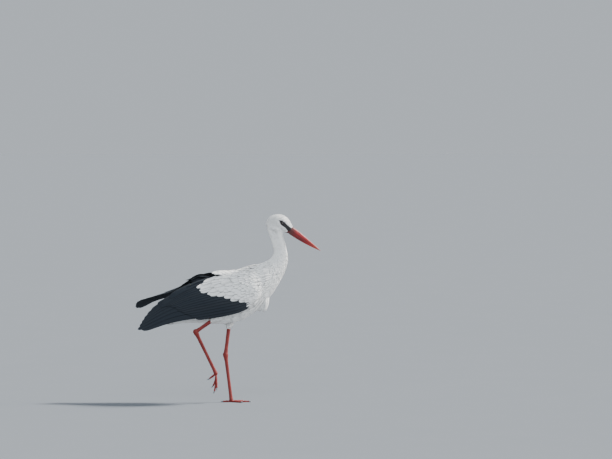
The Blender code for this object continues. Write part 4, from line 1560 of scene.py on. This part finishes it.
def makeEyes():
    look = eyeLook()
    turns, belts = eyeForm["turns"], eyeForm["belts"]
    for name, side in sideOf.items():
        axis = (bird(0, side, 0) + (headPlace(1, 0) - headPlace(0, 0)) * eyeForm["forward"]).normalized()
        up = headPlace(0, 1) - headPlace(0, 0)
        up = (up - axis * up.dot(axis)).normalized()
        aside = axis.cross(up)
        centre = headPlace(0, 0, side * headPose["eyeOut"])
        points, apart = [], []
        for b in range(belts + 1):
            angle = math.pi * b / belts
            bulge = 1 + eyeForm["bulge"] * math.exp(-((angle / eyeForm["cornea"]) ** 4))
            radius = headPose["eyeRadius"] * bulge
            for m in range(turns):
                turn = math.tau * m / turns
                flat = aside * math.cos(turn) + up * math.sin(turn)
                points.append(centre + (axis * math.cos(angle) + flat * math.sin(angle)) * radius)
                apart.append(angle)
        mesh = meshOf("eye_" + name + "_ball", points, tubeFaces(belts + 1, turns)[:-2])
        store(mesh, "apart", apart)
        outwards(mesh)
        mesh.materials.append(look)
        settle(plainObject("eyeball_" + name, mesh), "eye", "eye_" + name)


makeEyes()
print("stork: head finished")


# legs

legForm = {
    # how the CAD nodes melt together
    "overlap": 0.0005,
    "voxel": 0.0010,
    "smoothing": 6,
    # the plates' distance apart, their height, and the length of the bands on the toes
    "plate": 0.0036,
    "relief": 0.00032,
    "scute": 0.0042,
}
toes = ["inner", "middle", "outer", "hind"]


def scaleBuild(graph, wires):
    # raised plates over the shank and tarsus, and bands across the toes
    place = graph.add("GeometryNodeInputPosition")
    cells = graph.add(
        "ShaderNodeTexVoronoi", {"feature": "DISTANCE_TO_EDGE", "voronoi_dimensions": "3D"},
        {"Vector": place, "Scale": 1 / wires["Plate"], "Randomness": 0.75}, output="Distance",
    )
    plate = graph.between(cells, 0.02, 0.20)
    bands = (graph.read("reach") / wires["Scute"]).math("FRACT")
    band = graph.between(bands, 0.0, 0.22) * (1 - bands * 0.35)
    topped = graph.read("topped")
    height = plate * (1 - topped) + band * topped
    offset = graph.scaled(graph.add("GeometryNodeInputNormal"), height * wires["Relief"])
    moved = graph.add("GeometryNodeSetPosition", None, {"Geometry": wires["Geometry"], "Offset": offset})
    return graph.closed(graph.keep(moved, "plate", height), wires["Material"])


scaleTree = growTree(
    "legScales", {"Plate": "Float", "Relief": "Float", "Scute": "Float", "Material": "Material"}, scaleBuild
)


def legLook():
    def build(graph):
        place = graph.place()
        patches = graph.noise(place, 45.0, 4.0)
        grain = graph.noise(place, 900.0, 2.0)
        red = graph.blend(patches, paint(0.15, 0.012, 0.011), paint(0.26, 0.026, 0.020))
        raised = graph.between(graph.marked("plate"), 0.0, 0.5)
        seams = graph.blend(raised * 0.6 + 0.4, paint(0.085, 0.013, 0.012), red)
        dusty = graph.between(grain * patches, 0.30, 0.42) * 0.25
        colour = graph.blend(dusty, seams, paint(0.34, 0.12, 0.09))
        bump = graph.bump(grain, 0.3, 0.0002)
        return {"Base Color": colour, "Normal": bump, "Roughness": patches * 0.2 + 0.42}

    return finish("scalySkin", build, {"Specular IOR Level": 0.28})


def clawLook():
    def build(graph):
        grain = graph.noise(graph.place(), 500.0, 4.0)
        colour = graph.blend(grain, paint(0.165, 0.180, 0.202), paint(0.171, 0.186, 0.208))
        bump = graph.bump(grain, 0.3, 0.0002)
        return {"Base Color": colour, "Normal": bump, "Roughness": grain * 0.2 + 0.30}

    return finish("clawHorn", build, {"Specular IOR Level": 0.5})


def makeLeg(side, material):
    names = ["shank_" + side, "tarsus_" + side] + [f"toe_{side}_{toe}" for toe in toes]
    mesh, nodeAt = meltedNodes(names, legForm)
    points, normals = coordinatesOf(mesh), normalsOf(mesh)
    node = nodeAt(points)
    reach, topped = np.zeros(len(points)), np.zeros(len(points))
    for k in range(2, len(names)):  # each toe's vertices, by their place along it, and whether on its top
        here = node == k
        spot = points[here] - points[here].mean(0)
        _, _, axes = np.linalg.svd(spot, full_matrices=False)
        reach[here] = spot @ axes[0]
        level = axes[1] if abs(axes[2][2]) > abs(axes[1][2]) else axes[2]
        top = np.cross(axes[0], level)
        top *= np.sign(top[2]) or 1
        topped[here] = ramp(normals[here] @ top, 0.05, 1 / 3)
    store(mesh, "reach", reach)
    store(mesh, "topped", relaxed(topped, edgesOf(mesh), 2))
    values = {"Plate": legForm["plate"], "Relief": legForm["relief"], "Scute": legForm["scute"],
              "Material": material}
    settle(grown("leg_" + side, mesh, scaleTree, values), "leg_skin", *names)


def makeClaws(side, material):
    claws = [f"claw_{side}_{toe}" for toe in toes]
    mesh, _, _ = nodeCopies(claws)
    smoothed = modified(mesh, subsurf={"levels": 2, "render_levels": 2})
    smoothed.materials.clear()
    smoothed.materials.append(material)
    settle(plainObject("claws_" + side, smoothed), "claw", *claws)


scalySkin, clawHorn = legLook(), clawLook()
for side in sideOf:
    makeLeg(side, scalySkin)
    makeClaws(side, clawHorn)


# stage

# name: from where (forward, left, up), softness in degrees, strength, colour
lamps = {
    "key": ((1.15, 0.42, 1.25), 9, 9.0, (1.0, 0.965, 0.90)),
    "front": ((1.2, 0.12, 0.32), 24, 2.8, (1.0, 0.97, 0.92)),
    "fill": ((0.1, -1.6, 0.8), 50, 2.0, (0.86, 0.93, 1.0)),
}
sky = {"colour": (0.82, 0.89, 0.97), "strength": 0.62}
view = {"forward": 0.3417, "up": 0.761, "away": 20.0, "elevation": math.radians(2), "width": 2.693}


def makeStage():
    bpy.ops.mesh.primitive_circle_add(vertices=96, radius=60, fill_type="NGON")
    floor = bpy.context.object
    floor.name = "floor"

    def build(graph):
        grain = graph.noise(graph.place(), 3.0, 4.0)
        return {"Base Color": graph.blend(grain, paint(0.163, 0.179, 0.201), paint(0.171, 0.187, 0.209))}

    floor.data.materials.append(finish("paleFloor", build, {"Roughness": 0.9, "Specular IOR Level": 0.0}))
    world = bpy.data.worlds.new("studio")
    bpy.context.scene.world = world
    world.use_nodes = True
    background = world.node_tree.nodes["Background"].inputs
    background["Color"].default_value = paint(*sky["colour"])
    background["Strength"].default_value = sky["strength"]
    for name, (place, softness, strength, colour) in lamps.items():
        data = bpy.data.lights.new(name, "SUN")
        data.angle = math.radians(softness)
        data.energy = strength
        data.color = colour
        lamp = bpy.data.objects.new(name, data)
        lamp.location = bird(*place) * 3
        lamp.rotation_euler = bird(*place).to_track_quat("Z", "Y").to_euler()
        bpy.context.scene.collection.objects.link(lamp)


def makeCamera():
    # the right side of the bird, from far off and a little above
    target = bird(view["forward"], 0, view["up"])
    back = bird(0, -math.cos(view["elevation"]), math.sin(view["elevation"]))
    data = bpy.data.cameras.new("view")
    data.sensor_width = 36
    data.lens = 36 * view["away"] / view["width"]
    data.clip_end = 200
    camera = bpy.data.objects.new("view", data)
    camera.location = target + back * view["away"]
    camera.rotation_euler = (-back).to_track_quat("-Z", "Y").to_euler()
    bpy.context.scene.collection.objects.link(camera)
    bpy.context.scene.camera = camera


makeStage()
makeCamera()
print("stork: stage set")
